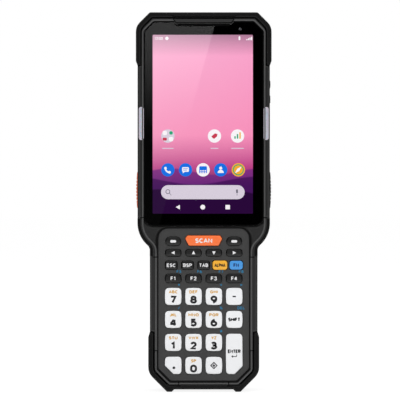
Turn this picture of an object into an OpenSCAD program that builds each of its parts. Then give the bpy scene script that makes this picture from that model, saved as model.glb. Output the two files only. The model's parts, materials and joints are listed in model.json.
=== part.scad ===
// Portable barcode data terminal: a slate head with a large touch display on a waisted keypad grip.
// It stands upright on the two lobes of its lower bumper. X runs across, Y from front to back,
// Z up along the length, and the origin is the middle of the base. Depths count from the front.

/* [Overall] */
// Height over both bumpers
total_h = 212.7; // [205:0.1:220]
// Depth from the front bumper to the back of the battery
total_d = 30; // [29:0.5:33]
// Width of the head between the bumpers
head_w = 74.2; // [74:0.1:76]
// Width of the grip
grip_w = 60.4; // [59:0.1:62]
// Depth of the head
head_d = 21; // [20:0.1:22]
// Depth at which the front and rear housings meet
split_d = 9.5; // [9.5:0.1:10.5]
// Depth of the grip's side walls, where the battery begins
seam_d = 17; // [16.5:0.1:17.5]
// Height of the shoulder corner, where the head side turns into the neck
neck_z = 87.3; // [86:0.1:89]
// Angle of the neck slope from the vertical
neck_angle = 47.5; // [44:0.5:52]
// Radius of the shoulder
shoulder_r = 16.5; // [14:0.5:17]
// Radius of the hollow under the shoulder
hollow_r = 4.2; // [3:0.1:4.4]
// Thickness of the housing walls
wall = 1.8; // [1.6:0.1:2]

/* [Bumpers] */
// Width over the top bumper
top_bumper_w = 76.08; // [75.5:0.01:77.5]
// Width over the bottom bumper
bottom_bumper_w = 62.2; // [61:0.1:63.5]
// Thickness of the top bumper
top_bumper_t = 2.94; // [2.6:0.01:3.2]
// Thickness of the bottom bumper
bottom_bumper_t = 3; // [2.6:0.1:3.2]
// Size of the 45 degree corner of the top bumper
top_corner = 7.8; // [7:0.1:9]
// Size of the 45 degree corner of the bottom bumper
bottom_corner = 10.5; // [10:0.1:12]
// Height of the top bumper's arms, from the top edge down
top_arm = 29.9; // [26:0.1:34]
// Height of the bottom bumper's arms
bottom_arm = 33.6; // [30:0.1:36]
// Length over which the arms fade into the housing
arm_fade = 2.6; // [2:0.1:4]
// Height of the lobes below the middle of the base
lobe_h = 1.34; // [1:0.01:2]
// Thickness of the bottom bumper under the housing
sole_t = 2.96; // [2.5:0.01:3.3]
// Bond line between a bumper and the housing
bond = 0.05; // [0.02:0.01:0.1]
// Groove along the line where the housings meet
groove = 0.25; // [0.1:0.05:0.3]
// How far the housing's front rim sits behind the bumper
rim_d = 0.6; // [0.4:0.1:0.9]

/* [Display] */
// Width of the cover glass
glass_w = 66.6; // [66:0.1:67]
// Lower edge of the cover glass
glass_z = 93.3; // [92.8:0.1:95]
// Housing and bumper above the cover glass
glass_margin = 5.3; // [5:0.1:8]
// Thickness of the cover glass
glass_t = 1.2; // [0.8:0.1:1.3]
// How far the glass sits behind the rim
glass_sink = 0.3; // [0.2:0.1:0.6]
// Gap round the glass
glass_gap = 0.5; // [0.3:0.05:0.6]
// Width of the lit area
display_w = 56.7; // [55:0.1:57.5]
// Lower edge of the lit area above the glass edge
display_rise = 6.55; // [5:0.05:7]
// Upper edge of the lit area below the top of the glass
display_drop = 7.25; // [6.5:0.05:9]
// Sideways shift of the lit area
display_shift = -0.65; // [-1:0.05:0.5]
// Frame of the display panel round the lit area
panel_frame = 1.6; // [1:0.1:1.8]
// Thickness of the display panel
panel_t = 2.1; // [1.8:0.1:2.2]
// Gap between the cover glass and the display panel
display_gap = 0.2; // [0.1:0.05:0.3]
// Thickness of the tray behind the display
tray_t = 1.2; // [1:0.1:1.3]
// Half width of the receiver bar that dips into the glass
receiver_half = 15.6; // [13:0.1:18]
// Depth of the dip in the glass
receiver_dip = 2.1; // [1.5:0.1:2.5]

/* [Keypad] */
// Width of the keypad plate
plate_w = 51; // [50.4:0.1:51.5]
// Lower edge of the keypad plate
plate_z = 6.2; // [6:0.1:6.8]
// Height of the keypad plate
plate_h = 85.4; // [84.5:0.1:86]
// Thickness of the keypad plate
plate_t = 1.6; // [1.4:0.1:1.8]
// Depth of the plate's front face
plate_d = 1.5; // [1.3:0.1:1.7]
// Groove round the plate
plate_gap = 0.6; // [0.4:0.1:0.8]
// Column pitch of the keys
pitch_x = 11.4; // [11:0.1:11.7]
// Row pitch of the number keys
pitch_z = 12.88; // [12.4:0.01:13]
// Column pitch of the five small keys
pitch_five = 9.1; // [8.9:0.1:9.3]
// Centre of the lowest row of keys above the plate's edge
first_row = 8.6; // [8.5:0.1:8.9]
// Width of a number key
key_w = 9.4; // [8.8:0.1:9.6]
// Height of a number key
key_h = 9.7; // [9:0.1:10]
// How far the keys stand out of the plate
key_proud = 1.3; // [1:0.1:1.4]
// Travel of a key
key_travel = 0.8; // [0.5:0.1:0.8]
// Gap round a key in the plate
key_gap = 0.3; // [0.2:0.05:0.4]
// Width of the flange that holds a key behind the plate
key_flange = 0.25; // [0.2:0.01:0.28]
// Thickness of the key flange
flange_t = 0.8; // [0.6:0.1:0.9]
// Thickness of the silicone membrane
membrane_t = 2.2; // [1.9:0.1:2.4]
// Thickness of the circuit boards
board_t = 1.2; // [0.8:0.1:1.2]
// Height of a snap dome
dome_h = 0.65; // [0.4:0.05:0.7]
// Radius of a snap dome
dome_r = 2.2; // [1.8:0.1:2.4]

/* [Side keys] */
// Height of a side scan trigger
trigger_h = 20.6; // [17:0.1:21]
// Middle of the side scan triggers above the shoulder corner
trigger_rise = 25.8; // [24:0.1:28]
// Depth of a side scan trigger, front to back
trigger_deep = 8; // [6:0.1:9]
// How far a trigger stands out of the side
trigger_proud = 0.9; // [0.6:0.05:1]
// Bow of a trigger's outer face over its height
trigger_bow = 0.5; // [0.3:0.05:0.5]
// Travel of a trigger
trigger_travel = 0.8; // [0.5:0.1:0.8]
// Height of the volume rocker
rocker_h = 12.4; // [11:0.1:14]
// Middle of the volume rocker below the top of the terminal
rocker_drop = 44.2; // [41:0.1:48]
// Depth of the volume rocker, front to back
rocker_deep = 4.6; // [3.6:0.1:5.4]
// How far the rocker stands out of the side
rocker_proud = 0.5; // [0.4:0.05:0.8]
// Middle depth of the side keys
side_key_d = 11; // [10.8:0.1:11.5]
// Gap round a side key
side_gap = 0.3; // [0.2:0.05:0.4]

/* [Battery] */
// Radius of the battery's lower nose, on which it swings
nose_r = 3.5; // [3:0.1:4]
// Lowest point of the battery
pack_z = 14.4; // [14:0.1:15.5]
// Top of the battery
pack_top = 86; // [85:0.1:86.5]
// Half width of the cell block inside the bay
cell_half = 24.6; // [23.5:0.1:24.6]
// Lower edge of the cell block above the swing axis
cell_rise = 1.1; // [0.8:0.1:1.6]
// Upper edge of the cell block
cell_top = 80; // [76:0.5:80.5]
// Thickness of the bay floor
bay_floor_t = 1.7; // [1.4:0.1:1.7]
// Gap between the battery and the bay
bay_gap = 0.4; // [0.3:0.1:0.5]
// Sideways reach of the rounding of the grip's back
back_reach = 9.2; // [7:0.1:10]
// Depth of the rounding of the grip's back
back_depth = 11; // [9:0.5:12]

/* [Latch] */
// Width of the battery latch
latch_w = 17; // [14:0.5:19]
// Height of the battery latch
latch_h = 8.4; // [7.5:0.1:8.4]
// Travel of the battery latch
latch_travel = 3; // [2:0.1:3]
// Outer radius of the latch spring
spring_r = 1.7; // [1.4:0.1:1.8]
// Wire radius of the latch spring
wire_r = 0.25; // [0.15:0.05:0.3]
// Working length of the latch spring
spring_len = 13.2; // [12:0.1:13.5]

/* [Fittings] */
// Screw shank radius
screw_r = 1; // [0.8:0.05:1.1]
// Screw head radius
screw_head_r = 2; // [1.6:0.1:2.1]
// Accessory insert bore radius
insert_r = 1.25; // [1:0.05:1.5]
// Accessory insert outer radius
insert_out_r = 2.1; // [1.9:0.1:2.4]
// Distance between the accessory inserts
insert_pitch = 28; // [20:0.5:34]
// Accessory inserts below the top of the terminal
insert_drop = 58.7; // [54:0.1:62]
// Length of an accessory insert
insert_len = 5.9; // [4:0.1:6]
// Width of the scan window
window_w = 26; // [22:0.5:28]
// Depth of the scan window, front to back
window_deep = 8; // [6:0.1:8.4]

/* [Hidden] */
$fn = 48;
fit = 0.3;
eps = 0.01;
k45 = sqrt(2) - 1;

// Depths
glass_d = rim_d + glass_sink;
panel_d = glass_d + glass_t;
tray_d = panel_d + display_gap + panel_t;
board_d = tray_d + tray_t;
plate_back = plate_d + plate_t;
flange_back = plate_back + flange_t;
ledge_back = flange_back + key_travel + 0.1;
membrane_back = ledge_back + membrane_t;
keyboard_back = membrane_back + board_t;
bay_floor_d = keyboard_back + fit;
bay_d = bay_floor_d + bay_floor_t;
cell_d = bay_d + bay_gap;
cover_d = seam_d + fit;
swing_d = total_d - nose_r;
swing_z = pack_z + nose_r;
// The battery's corners swing up past rest, so the housing above it clears their circles
hump_z = swing_z + norm([swing_d - cover_d, pack_top - swing_z]) + fit;
bay_top = swing_z + norm([swing_d - cell_d, cell_top - swing_z]) + fit;
shelf_top = hump_z + 16;
slope_run = 12;
cell_z = swing_z + cell_rise;

// Half widths and heights
head_x = head_w / 2;
grip_x = grip_w / 2;
top_x = top_bumper_w / 2;
base_x = bottom_bumper_w / 2;
top_inner_x = top_x - top_bumper_t;
base_inner_x = base_x - bottom_bumper_t;
arm_z = total_h - top_arm;
floor_z = lobe_h + sole_t;
step = 0.4;
glass_top = total_h - glass_margin;
glass_corner = 5.1;
display_z = glass_z + display_rise;
display_h = glass_top - display_drop - display_z;
trigger_z = neck_z + trigger_rise;
rocker_z = total_h - rocker_drop;
insert_z = total_h - insert_drop;
plate_top = plate_z + plate_h;
plate_x = plate_w / 2;
plate_cut = 7;
ledge_w = 1.6;

// Key rows, from the lowest number row up
row_0 = plate_z + first_row;
rows = [for (i = [0:3]) row_0 + i * pitch_z];
row_f = rows[3] + 10.1;
row_five = row_f + 7.4;
row_arrow = row_five + 7;
row_scan = row_arrow + 6.8;
cols = [for (i = [0:3]) (i - 1.5) * pitch_x];

// Key table: name, x, z, width, height, corner radius, shape, colour
WHITE = "#f2f4f6";
DARK = "#222326";
KEYS = concat(
    [["soft_left", cols[0], row_scan - 0.4, 8.4, 4.8, 2.3, "plain", DARK],
     ["scan", 0, row_scan, 20.8, 5.7, 1, "scan", "#f07030"],
     ["soft_right", cols[3], row_scan - 0.4, 8.4, 4.8, 2.3, "plain", DARK]],
    [for (i = [0:3]) [["left", "up", "down", "right"][i], cols[i], row_arrow, 8.7, 3.8, 1.3, "plain", DARK]],
    [["esc", -2 * pitch_five, row_five, 6.6, 4.6, 0.9, "plain", DARK],
     ["bsp", -pitch_five, row_five, 6.6, 4.6, 0.9, "plain", DARK],
     ["tab", 0, row_five, 6.6, 4.6, 0.9, "plain", DARK],
     ["yellow", pitch_five, row_five, 8.2, 5.2, 0.9, "plain", "#e7b03c"],
     ["blue", 2 * pitch_five, row_five, 7.4, 5, 0.9, "plain", "#4d9bdb"]],
    [for (i = [0:3]) [str("f", i + 1), cols[i], row_f, 8.8, 4.8, 1.6, "plain", DARK]],
    [for (i = [0:2]) [str("num_", i + 7), cols[i], rows[3], key_w, key_h, 1.9, "barrel", WHITE]],
    [["dash", cols[3], rows[3], key_w, key_h, 1.9, "barrel", WHITE]],
    [for (i = [0:2]) [str("num_", i + 4), cols[i], rows[2], key_w, key_h, 1.9, "barrel", WHITE]],
    [["shift", cols[3], rows[2], key_w, key_h, 1.9, "barrel", WHITE]],
    [for (i = [0:2]) [str("num_", i + 1), cols[i], rows[1], key_w, key_h, 1.9, "barrel", WHITE]],
    [["dot", cols[0], rows[0], key_w, key_h, 1.9, "cut_left", WHITE],
     ["num_0", cols[1], rows[0], key_w, key_h, 1.9, "barrel", WHITE],
     ["menu", cols[2], rows[0], key_w, key_h, 1.9, "barrel", WHITE],
     ["enter", cols[3], (rows[0] + rows[1]) / 2, key_w, key_h + pitch_z, 1.9, "cut_right", WHITE]]
);

PARTS = ["front_housing", "rear_housing", "top_bumper", "bottom_bumper", "cover_glass", "display_panel",
    "receiver_mesh", "front_camera", "light_guides", "keypad_plate", "keypad_membrane", "keypad_board",
    "key_domes", "main_board", "scan_window", "scan_engine", "rear_camera", "speaker", "battery_pack",
    "battery_contacts", "bay_connector", "battery_latch", "latch_spring", "dock_contacts",
    "housing_screws", "accessory_inserts", "trigger_left", "trigger_right", "volume_rocker"];

// ---------- Outline tools ----------
// An outline is a closed clockwise list of corners [x, z, radius, arc steps].

function unit(v) = v / norm(v);
function wrap(v, i) = v[(i + len(v)) % len(v)];
function xz(c) = [c[0], c[1]];
function reversed(v) = [for (i = [len(v) - 1:-1:0]) v[i]];
function mirrored(v) = [for (c = v) [-c[0], c[1], c[2], c[3]]];
function turn(a, b) = a[0] * b[1] - a[1] * b[0];

// Moves every side of the outline inwards by t, and its radii with it
function shrink(v, t) = [for (i = [0:len(v) - 1])
    let (p = xz(v[i]),
         e1 = unit(p - xz(wrap(v, i - 1))),
         e2 = unit(xz(wrap(v, i + 1)) - p),
         n1 = [e1[1], -e1[0]],
         n2 = [e2[1], -e2[0]],
         q = p + t * (n1 + n2) / (1 + n1 * n2),
         r = v[i][2] + (turn(e1, e2) < 0 ? -t : t))
    [q[0], q[1], v[i][2] > 0 ? max(r, 0.05) : 0, v[i][3]]];

// The points of one rounded corner
function corner(p, a, b, r, n) =
    let (half = acos(a * b) / 2,
         c = p + unit(a + b) * r / sin(half),
         u = unit(p + a * r / tan(half) - c),
         w = unit(p + b * r / tan(half) - c),
         sweep = acos(min(1, max(-1, u * w))))
    [for (i = [0:n]) c + r * (u * sin(sweep * (1 - i / n)) + w * sin(sweep * i / n)) / sin(sweep)];

function rounded(v) = [for (i = [0:len(v) - 1])
    let (p = xz(v[i]))
    each v[i][2] == 0 ? [p] : corner(p, unit(xz(wrap(v, i - 1)) - p), unit(xz(wrap(v, i + 1)) - p),
        v[i][2], v[i][3])];

// Rectangle with rounded corners, about its centre
function box_outline(w, h, r, n = 3, x = 0, z = 0) = [
    [x + w / 2, z + h / 2, r, n], [x + w / 2, z - h / 2, r, n],
    [x - w / 2, z - h / 2, r, n], [x - w / 2, z + h / 2, r, n]];

// Quarter-round edges as [depth, inset] stations, at the front and at the back of a body
function front_edge(d, reach, depth, n = 3) = [for (i = [n:-1:0])
    [d + depth * (1 - sin(90 * i / n)), reach * (1 - cos(90 * i / n))]];
function back_edge(d, reach, depth, n = 3) = [for (i = [0:n])
    [d - depth * (1 - sin(90 * i / n)), reach * (1 - cos(90 * i / n))]];

function at(d) = d - total_d / 2;

// Solid through stations [depth, points], all with the same number of points.
// Point i faces point n - 1 - i, and the two end faces are laid as strips between them.
module loft(stations) {
    n = len(stations[0][1]);
    last = (len(stations) - 1) * n;
    polyhedron(
        points = [for (s = stations) for (p = s[1]) [p[0], at(s[0]), p[1]]],
        faces = concat(
            [for (i = [0:n / 2 - 2]) each [[i, i + 1, n - 2 - i], [i, n - 2 - i, n - 1 - i]]],
            [for (i = [0:n / 2 - 2]) each [[last + n - 2 - i, last + i + 1, last + i],
                [last + n - 1 - i, last + n - 2 - i, last + i]]],
            [for (j = [0:len(stations) - 2]) for (i = [0:n - 1])
                let (a = j * n + i, b = j * n + (i + 1) % n)
                each [[b, a, a + n], [b, a + n, b + n]]]));
}

// Outline drawn through [depth, inset] stations
module skin(outline, stations) {
    loft([for (s = stations) [s[0], rounded(shrink(outline, s[1]))]]);
}

// Flat prism of the children between two depths
module slab(d0, d1) {
    translate([0, at(d1), 0]) rotate([90, 0, 0]) linear_extrude(d1 - d0) children();
}

module plate_of(outline, d0, d1) {
    slab(d0, d1) polygon(rounded(outline));
}

// Box given by its limits: x, depth and z
module block(x0, x1, d0, d1, z0, z1) {
    translate([x0, at(d0), z0]) cube([x1 - x0, d1 - d0, z1 - z0]);
}

// Round bar along Y between two depths
module rod(x, z, r, d0, d1, r_end = -1) {
    translate([x, at(d0), z]) rotate([-90, 0, 0])
        cylinder(r1 = r, r2 = r_end < 0 ? r : r_end, h = d1 - d0);
}

module both_sides() {
    children();
    mirror([1, 0, 0]) children();
}

// ---------- Outlines of the terminal ----------

// 45 degree corners, moved inwards by t
function top_corners(t, r) = [
    [top_x - top_corner - k45 * t, total_h - t, 1.5, 2],
    [top_x - t, total_h - top_corner - k45 * t, r, 5]];
function base_corners(t, r, z, n) = [
    [base_x - t, bottom_corner + k45 * t, r, 4],
    [z + base_x - bottom_corner - sqrt(2) * t, z, 0.6, n]];

// The neck's two arcs always leave a short straight between them
neck_arcs = (head_x - grip_x) / sin(neck_angle) / tan(neck_angle / 2);
neck_corners = [
    [head_x, neck_z, shoulder_r, 6],
    [grip_x, neck_z - (head_x - grip_x) / tan(neck_angle), min(hollow_r, neck_arcs - shoulder_r - 0.5), 4]];

housing_half = concat(
    top_corners(top_bumper_t, 5),
    [[top_inner_x, arm_z + step, 0, 0], [head_x, arm_z, 0, 0]],
    neck_corners,
    [[grip_x, bottom_arm, 0, 0], [base_inner_x, bottom_arm - step, 0, 0]],
    base_corners(bottom_bumper_t, 5, floor_z, 2));
housing_outline = concat(housing_half, reversed(mirrored(housing_half)));

top_outer = concat(top_corners(0, 7.5),
    [[top_x, arm_z + arm_fade, 0, 0], [head_x, arm_z + bond, 0, 0]]);
top_inner = concat(top_corners(top_bumper_t - bond, 5),
    [[top_inner_x + bond, arm_z + arm_fade, 0, 0], [top_inner_x + bond, arm_z + step + bond, 0, 0]]);
top_bumper_outline = concat(reversed(mirrored(top_outer)), top_outer, reversed(top_inner), mirrored(top_inner));

lobe_x = base_x - bottom_corner;
lobe_w = 2.7;
base_outer = concat(
    [[grip_x, bottom_arm - bond, 0, 0], [base_x, bottom_arm - arm_fade - step, 0, 0]],
    base_corners(0, 8, 0, 2),
    [[lobe_x - lobe_w, 0, 0, 0], [lobe_x - lobe_w - lobe_h, lobe_h, 0, 0]]);
base_inner = concat(
    [[base_inner_x + bond, bottom_arm - step - bond, 0, 0], [base_inner_x + bond, bottom_arm - arm_fade - step, 0, 0]],
    base_corners(bottom_bumper_t - bond, 5, floor_z - bond, 2),
    [[lobe_x - lobe_w, floor_z - bond, 0, 0], [lobe_x - lobe_w - lobe_h, floor_z - bond, 0, 0]]);
bottom_bumper_outline = concat(base_outer, reversed(mirrored(base_outer)), mirrored(base_inner), reversed(base_inner));

// Glass with its chamfered top corners and the dip for the receiver bar
glass_half = [
    [receiver_half, glass_top - receiver_dip, 0, 0],
    [receiver_half + receiver_dip, glass_top, 0, 0],
    [glass_w / 2 - glass_corner, glass_top, 1.5, 3],
    [glass_w / 2, glass_top - glass_corner, 1.5, 3],
    [glass_w / 2, glass_z, 5, 6]];
glass_outline = concat(glass_half, reversed(mirrored(glass_half)));
rim_half = [for (i = [2:4]) glass_half[i]];
rim_outline = concat(rim_half, reversed(mirrored(rim_half)));

panel_outline = box_outline(display_w + 2 * panel_frame, display_h + 2 * panel_frame, 1, 3,
    display_shift, display_z + display_h / 2);

plate_outline = [
    [plate_x, plate_top, 5.6, 5], [plate_x, plate_z + plate_cut, 1.5, 2],
    [plate_x - plate_cut, plate_z, 1.5, 2], [plate_cut - plate_x, plate_z, 1.5, 2],
    [-plate_x, plate_z + plate_cut, 1.5, 2], [-plate_x, plate_top, 5.6, 5]];

// ---------- Keys ----------

// Outlines about the key's centre
function barrel(w, h, r) = [
    [w / 2 - 0.25, h / 2 - 0.2, r, 4], [w / 2, 0, 14, 2], [w / 2 - 0.25, 0.2 - h / 2, r, 4], [0, -h / 2, 14, 2],
    [0.25 - w / 2, 0.2 - h / 2, r, 4], [-w / 2, 0, 14, 2], [0.25 - w / 2, h / 2 - 0.2, r, 4], [0, h / 2, 14, 2]];
function cut_key(w, h, r, cut) = [
    [w / 2 - 0.15, h / 2, r, 4], [w / 2, cut - h / 2, 1.2, 2], [w / 2 - cut, -h / 2, 1.2, 2],
    [0.15 - w / 2, -h / 2, r, 4], [-w / 2, 0, 14, 2], [0.15 - w / 2, h / 2, r, 4]];
function scan_half(w, h) = [
    [w / 2 - h * 0.22, h / 2, 0.8, 2], [w / 2, h * 0.2, 1.2, 2], [w / 2 - h * 0.37, -h / 2, 1, 2]];
function scan_key(w, h) = concat(scan_half(w, h), reversed(mirrored(scan_half(w, h))));
function key_shape(k) =
    k[6] == "barrel" ? barrel(k[3], k[4], k[5]) :
    k[6] == "cut_right" ? cut_key(k[3], k[4], k[5], 4.5) :
    k[6] == "cut_left" ? reversed(mirrored(cut_key(k[3], k[4], k[5], 4.8))) :
    k[6] == "scan" ? scan_key(k[3], k[4]) :
    box_outline(k[3], k[4], k[5]);
function key_outline(k) = [for (c = key_shape(k)) [c[0] + k[1], c[1] + k[2], c[2], c[3]]];

plunger_r = 1.5;
plunger_end = membrane_back - dome_h - key_travel - 0.15;

module key(k) {
    outline = key_outline(k);
    proud = k[6] == "scan" ? key_proud : k[7] == WHITE ? key_proud : key_proud - 0.2;
    color(k[7]) {
        skin(outline, concat(front_edge(plate_d - proud, 0.9, 0.5, 2), [[plate_back + eps, 0]]));
        plate_of(shrink(outline, -key_flange - key_gap), plate_back, flange_back);
        rod(k[1], k[2], plunger_r, flange_back - eps, plunger_end);
    }
}

module keypad_plate() {
    color("#464646")
    difference() {
        skin(plate_outline, concat(front_edge(plate_d, 0.5, 0.4, 2), [[plate_back, 0]]));
        for (k = KEYS) plate_of(shrink(key_outline(k), -key_gap), plate_d - 1, plate_back + 1);
    }
}

module keypad_membrane() {
    color("#3a3c40")
    difference() {
        plate_of(shrink(plate_outline, fit), ledge_back, membrane_back);
        for (k = KEYS) rod(k[1], k[2], dome_r + 0.7, ledge_back - 1, membrane_back + 1);
    }
}

module keypad_board() {
    color("#1f6b3a") plate_of(shrink(plate_outline, fit), membrane_back, keyboard_back);
}

module key_domes() {
    color("#c9ccd0")
    for (k = KEYS) rod(k[1], k[2], dome_r * 0.5, membrane_back - dome_h, membrane_back, dome_r);
}

// ---------- Side keys ----------

side_wall_x = head_x - wall;
pivot_x = head_x - wall / 2;
pivot_r = 0.5;

// Opening for a side key through the wall, on the right
module side_opening(h, deep, z) {
    block(side_wall_x - 1, head_x + 2, side_key_d - deep / 2 - side_gap, side_key_d + deep / 2 + side_gap,
        z - h / 2 - side_gap, z + h / 2 + side_gap);
}

// Scan trigger on the right: a bowed cap, a flange behind the wall and the plunger
module trigger() {
    reach = head_x + trigger_proud;
    bow_r = (pow(trigger_h / 2, 2) + pow(trigger_bow, 2)) / (2 * trigger_bow);
    intersection() {
        block(side_wall_x - eps, reach, side_key_d - trigger_deep / 2, side_key_d + trigger_deep / 2,
            trigger_z - trigger_h / 2, trigger_z + trigger_h / 2);
        translate([reach - bow_r, 0, trigger_z]) rotate([90, 0, 0])
            cylinder(r = bow_r, h = 2 * total_d, center = true, $fn = 160);
    }
    block(side_wall_x - flange_t, side_wall_x, side_key_d - trigger_deep / 2 - 0.8,
        side_key_d + trigger_deep / 2 + 0.8, trigger_z - trigger_h / 2 - 1, trigger_z + trigger_h / 2 + 1);
}

module trigger_right() {
    color("#2a2a2c") trigger();
}

module trigger_left() {
    color("#d9642c") mirror([1, 0, 0]) trigger();
}

// Rocker with two raised ends, on pins along Y
module volume_rocker() {
    hollow_r = 8;
    color("#2a2a2c") {
        difference() {
            block(side_wall_x + 0.2, head_x + rocker_proud, side_key_d - rocker_deep / 2,
                side_key_d + rocker_deep / 2, rocker_z - rocker_h / 2, rocker_z + rocker_h / 2);
            translate([head_x + rocker_proud + hollow_r - 0.45, 0, rocker_z]) rotate([90, 0, 0])
                cylinder(r = hollow_r, h = 2 * total_d, center = true);
        }
        rod(pivot_x, rocker_z, pivot_r, side_key_d - rocker_deep / 2 - 0.9, side_key_d + rocker_deep / 2 + 0.9);
    }
}

module rocker_opening() {
    side_opening(rocker_h, rocker_deep, rocker_z);
    rod(pivot_x, rocker_z, pivot_r + bond, side_key_d - rocker_deep / 2 - 1, side_key_d + rocker_deep / 2 + 1);
}

// ---------- Front housing ----------

light_x = 35.2;
light_w = 1.8;
light_z = total_h - 71.3;
light_h = 17.9;

module light_bar(gap, d0, d1) {
    plate_of(box_outline(light_w + 2 * gap, light_h + 2 * gap, light_w / 2 - 0.1 + gap, 3,
        light_x, light_z + light_h / 2), d0, d1);
}

module light_guides() {
    color("#bcbdc8") both_sides() light_bar(0, rim_d, tray_d);
}

// ---------- Screws ----------

// Case screws: x, z, depth of the head's seat, depth of the tip
head_screw_x = 29.6;
head_screw_z = [shelf_top + slope_run + 3, arm_z - 6.8];
grip_screw_x = (cell_half + 0.6 + grip_x) / 2;
grip_screw_z = [40, 74];
screw_head_t = 1.5;
boss_r = 2.8;
SCREWS = concat(
    [for (z = head_screw_z) [head_screw_x, z, head_d - wall - 0.1, board_d + 1.4]],
    [for (z = grip_screw_z) [grip_screw_x, z, seam_d - screw_head_t - fit, ledge_back + 0.7]]);

module housing_screws() {
    color("#8c8f94")
    both_sides() for (s = SCREWS) {
        difference() {
            rod(s[0], s[1], screw_head_r, s[2], s[2] + screw_head_t);
            rod(s[0], s[1], screw_head_r * 0.45, s[2] + 0.6, s[2] + screw_head_t + 1, $fn = 6);
        }
        rod(s[0], s[1], screw_r, s[3], s[2] + eps);
    }
}

// Clearance in the rear housing, thread hole in the front housing
module screw_cuts(front) {
    both_sides() for (s = SCREWS) {
        if (front) {
            rod(s[0], s[1], screw_r + bond, s[3] - 0.4, split_d + 1);
        } else {
            rod(s[0], s[1], screw_r + 0.15, split_d - 2, s[2] + 1);
            rod(s[0], s[1], screw_head_r + 0.15, s[2], s[2] + 10);
        }
    }
}

// ---------- Front housing ----------

module front_housing() {
    flare = 1.3;
    slot = 1.1;
    line_half = 0.2;
    color("#3c3c3e")
    difference() {
        skin(housing_outline, concat(front_edge(rim_d, 1.3, 1.5), [[split_d - groove, 0], [split_d, groove]]));
        // Seat of the glass, with a flared mouth that stops at the receiver bar
        plate_of(shrink(glass_outline, -glass_gap), rim_d - 1, panel_d);
        difference() {
            skin(rim_outline, [[rim_d - eps, -glass_gap - flare], [rim_d + 0.8, -glass_gap]]);
            block(-receiver_half - 1, receiver_half + 1, 0, 3, glass_top - 4, total_h);
        }
        // Receiver slot and the pocket of the front camera
        block(1 - receiver_half, receiver_half - 1, rim_d - 1, panel_d,
            glass_top - receiver_dip, glass_top - receiver_dip + slot);
        rod(front_camera_x, front_camera_z, front_camera_r + bond, panel_d - 1, front_camera_back);
        // Display pocket, open to the glass
        plate_of(shrink(panel_outline, -fit), panel_d - eps, tray_d);
        // Room for the boards behind the tray, round the screw bosses
        difference() {
            intersection() {
                plate_of(shrink(housing_outline, wall), board_d, split_d + 1);
                block(-head_w, head_w, 0, total_d, glass_z + 1, total_h);
            }
            both_sides() for (z = head_screw_z) rod(head_screw_x, z, boss_r, board_d - 1, split_d + 2);
        }
        // Keypad seat, its ledge and the well for membrane and board
        plate_of(shrink(plate_outline, -plate_gap), rim_d - 1, plate_back);
        difference() {
            skin(shrink(plate_outline, -plate_gap), [[rim_d - eps, -flare], [rim_d + 0.7, 0]]);
            both_sides() block(plate_x + plate_gap, grip_x, 0, plate_d, bottom_arm - 10.5, neck_z - 12.2);
        }
        // Lines moulded across the rim: beside the lower end of the glass and under the keypad
        both_sides() block(glass_w / 2 + glass_gap, head_x + 1, 0, rim_d + 0.5,
            glass_z + 5 - line_half, glass_z + 5 + line_half);
        both_sides() block(13.9 - line_half, 13.9 + line_half, 0, rim_d + 0.4, 0, plate_z);
        plate_of(shrink(plate_outline, ledge_w), plate_back - eps, ledge_back + eps);
        plate_of(plate_outline, ledge_back, split_d + 1);
        // Passage for the flat cable between the boards
        block(-8, 8, split_d - 2, split_d + 1, plate_top - 1, glass_z + 2);
        // Light guides, side keys and screws
        both_sides() light_bar(0.1, rim_d - 1, tray_d);
        both_sides() side_opening(trigger_h, trigger_deep, trigger_z);
        rocker_opening();
        screw_cuts(true);
    }
}

module cover_glass() {
    color("#08080a") plate_of(glass_outline, glass_d, panel_d);
}

module display_panel() {
    color("#7a5c78") plate_of(panel_outline, tray_d - panel_t, tray_d);
}

module receiver_mesh() {
    color("#17171a")
    block(1.1 - receiver_half, receiver_half - 1.1, glass_d + 0.3, panel_d,
        glass_top - receiver_dip + bond, glass_top - receiver_dip + 1);
}

module front_camera() {
    color("#3a3f4a")
    difference() {
        rod(front_camera_x, front_camera_z, front_camera_r, panel_d, front_camera_back);
        rod(front_camera_x, front_camera_z, front_camera_r * 0.3, panel_d - 1, panel_d + 0.5, front_camera_r * 0.15);
    }
}

// Board with its shields, connectors and the switches behind the side keys
module main_board() {
    edge = 2;
    low = glass_z + 4;
    top = total_h - 12;
    middle = (low + top) / 2;
    part_d = board_d + board_t;
    shield_d = part_d + 1.6;
    color("#1f6b3a")
    difference() {
        union() {
            intersection() {
                plate_of(shrink(housing_outline, wall + edge), board_d, part_d);
                block(-head_w, head_w, 0, total_d, low, top);
            }
            block(-24, -2, part_d - eps, shield_d, low + 8, middle - 14);
            block(3, 24, part_d - eps, shield_d, low + 20, middle - 2);
            block(-22, 6, part_d - eps, shield_d, middle + 10, top - 20);
            block(-9, 9, part_d - eps, part_d + 1, low + 1, low + 4);
            both_sides() block(side_wall_x - 5, side_wall_x - flange_t - trigger_travel - 0.1, board_d,
                side_key_d + 1.6, trigger_z - 2.2, trigger_z + 2.2);
        }
        both_sides() for (z = head_screw_z) block(head_screw_x - boss_r - fit, head_x, board_d - 1, part_d + 4,
            z - boss_r - fit, z + boss_r + fit);
    }
}

// ---------- Rear housing ----------

// Quarter-round back of the grip, shared by battery, hump and chin
grip_back = back_edge(total_d, back_reach, min(back_depth, total_d - cover_d - 1), 5);

function hump_outline(d, inset) =
    let (top = shelf_top + (total_d - d) * slope_run / (total_d - head_d) - inset * 0.2)
    [[grip_x - inset, top, 2.5, 2], [grip_x - inset, hump_z - 2, 0, 0],
     [inset - grip_x, hump_z - 2, 0, 0], [inset - grip_x, top, 2.5, 2]];
function chin_outline(inset) =
    let (half = concat([[base_inner_x - bond - inset, swing_z + 1, 0, 0]],
        base_corners(bottom_bumper_t + bond + inset, 5, floor_z + bond + inset * 0.4, 2)))
    concat(half, reversed(mirrored(half)));

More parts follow.
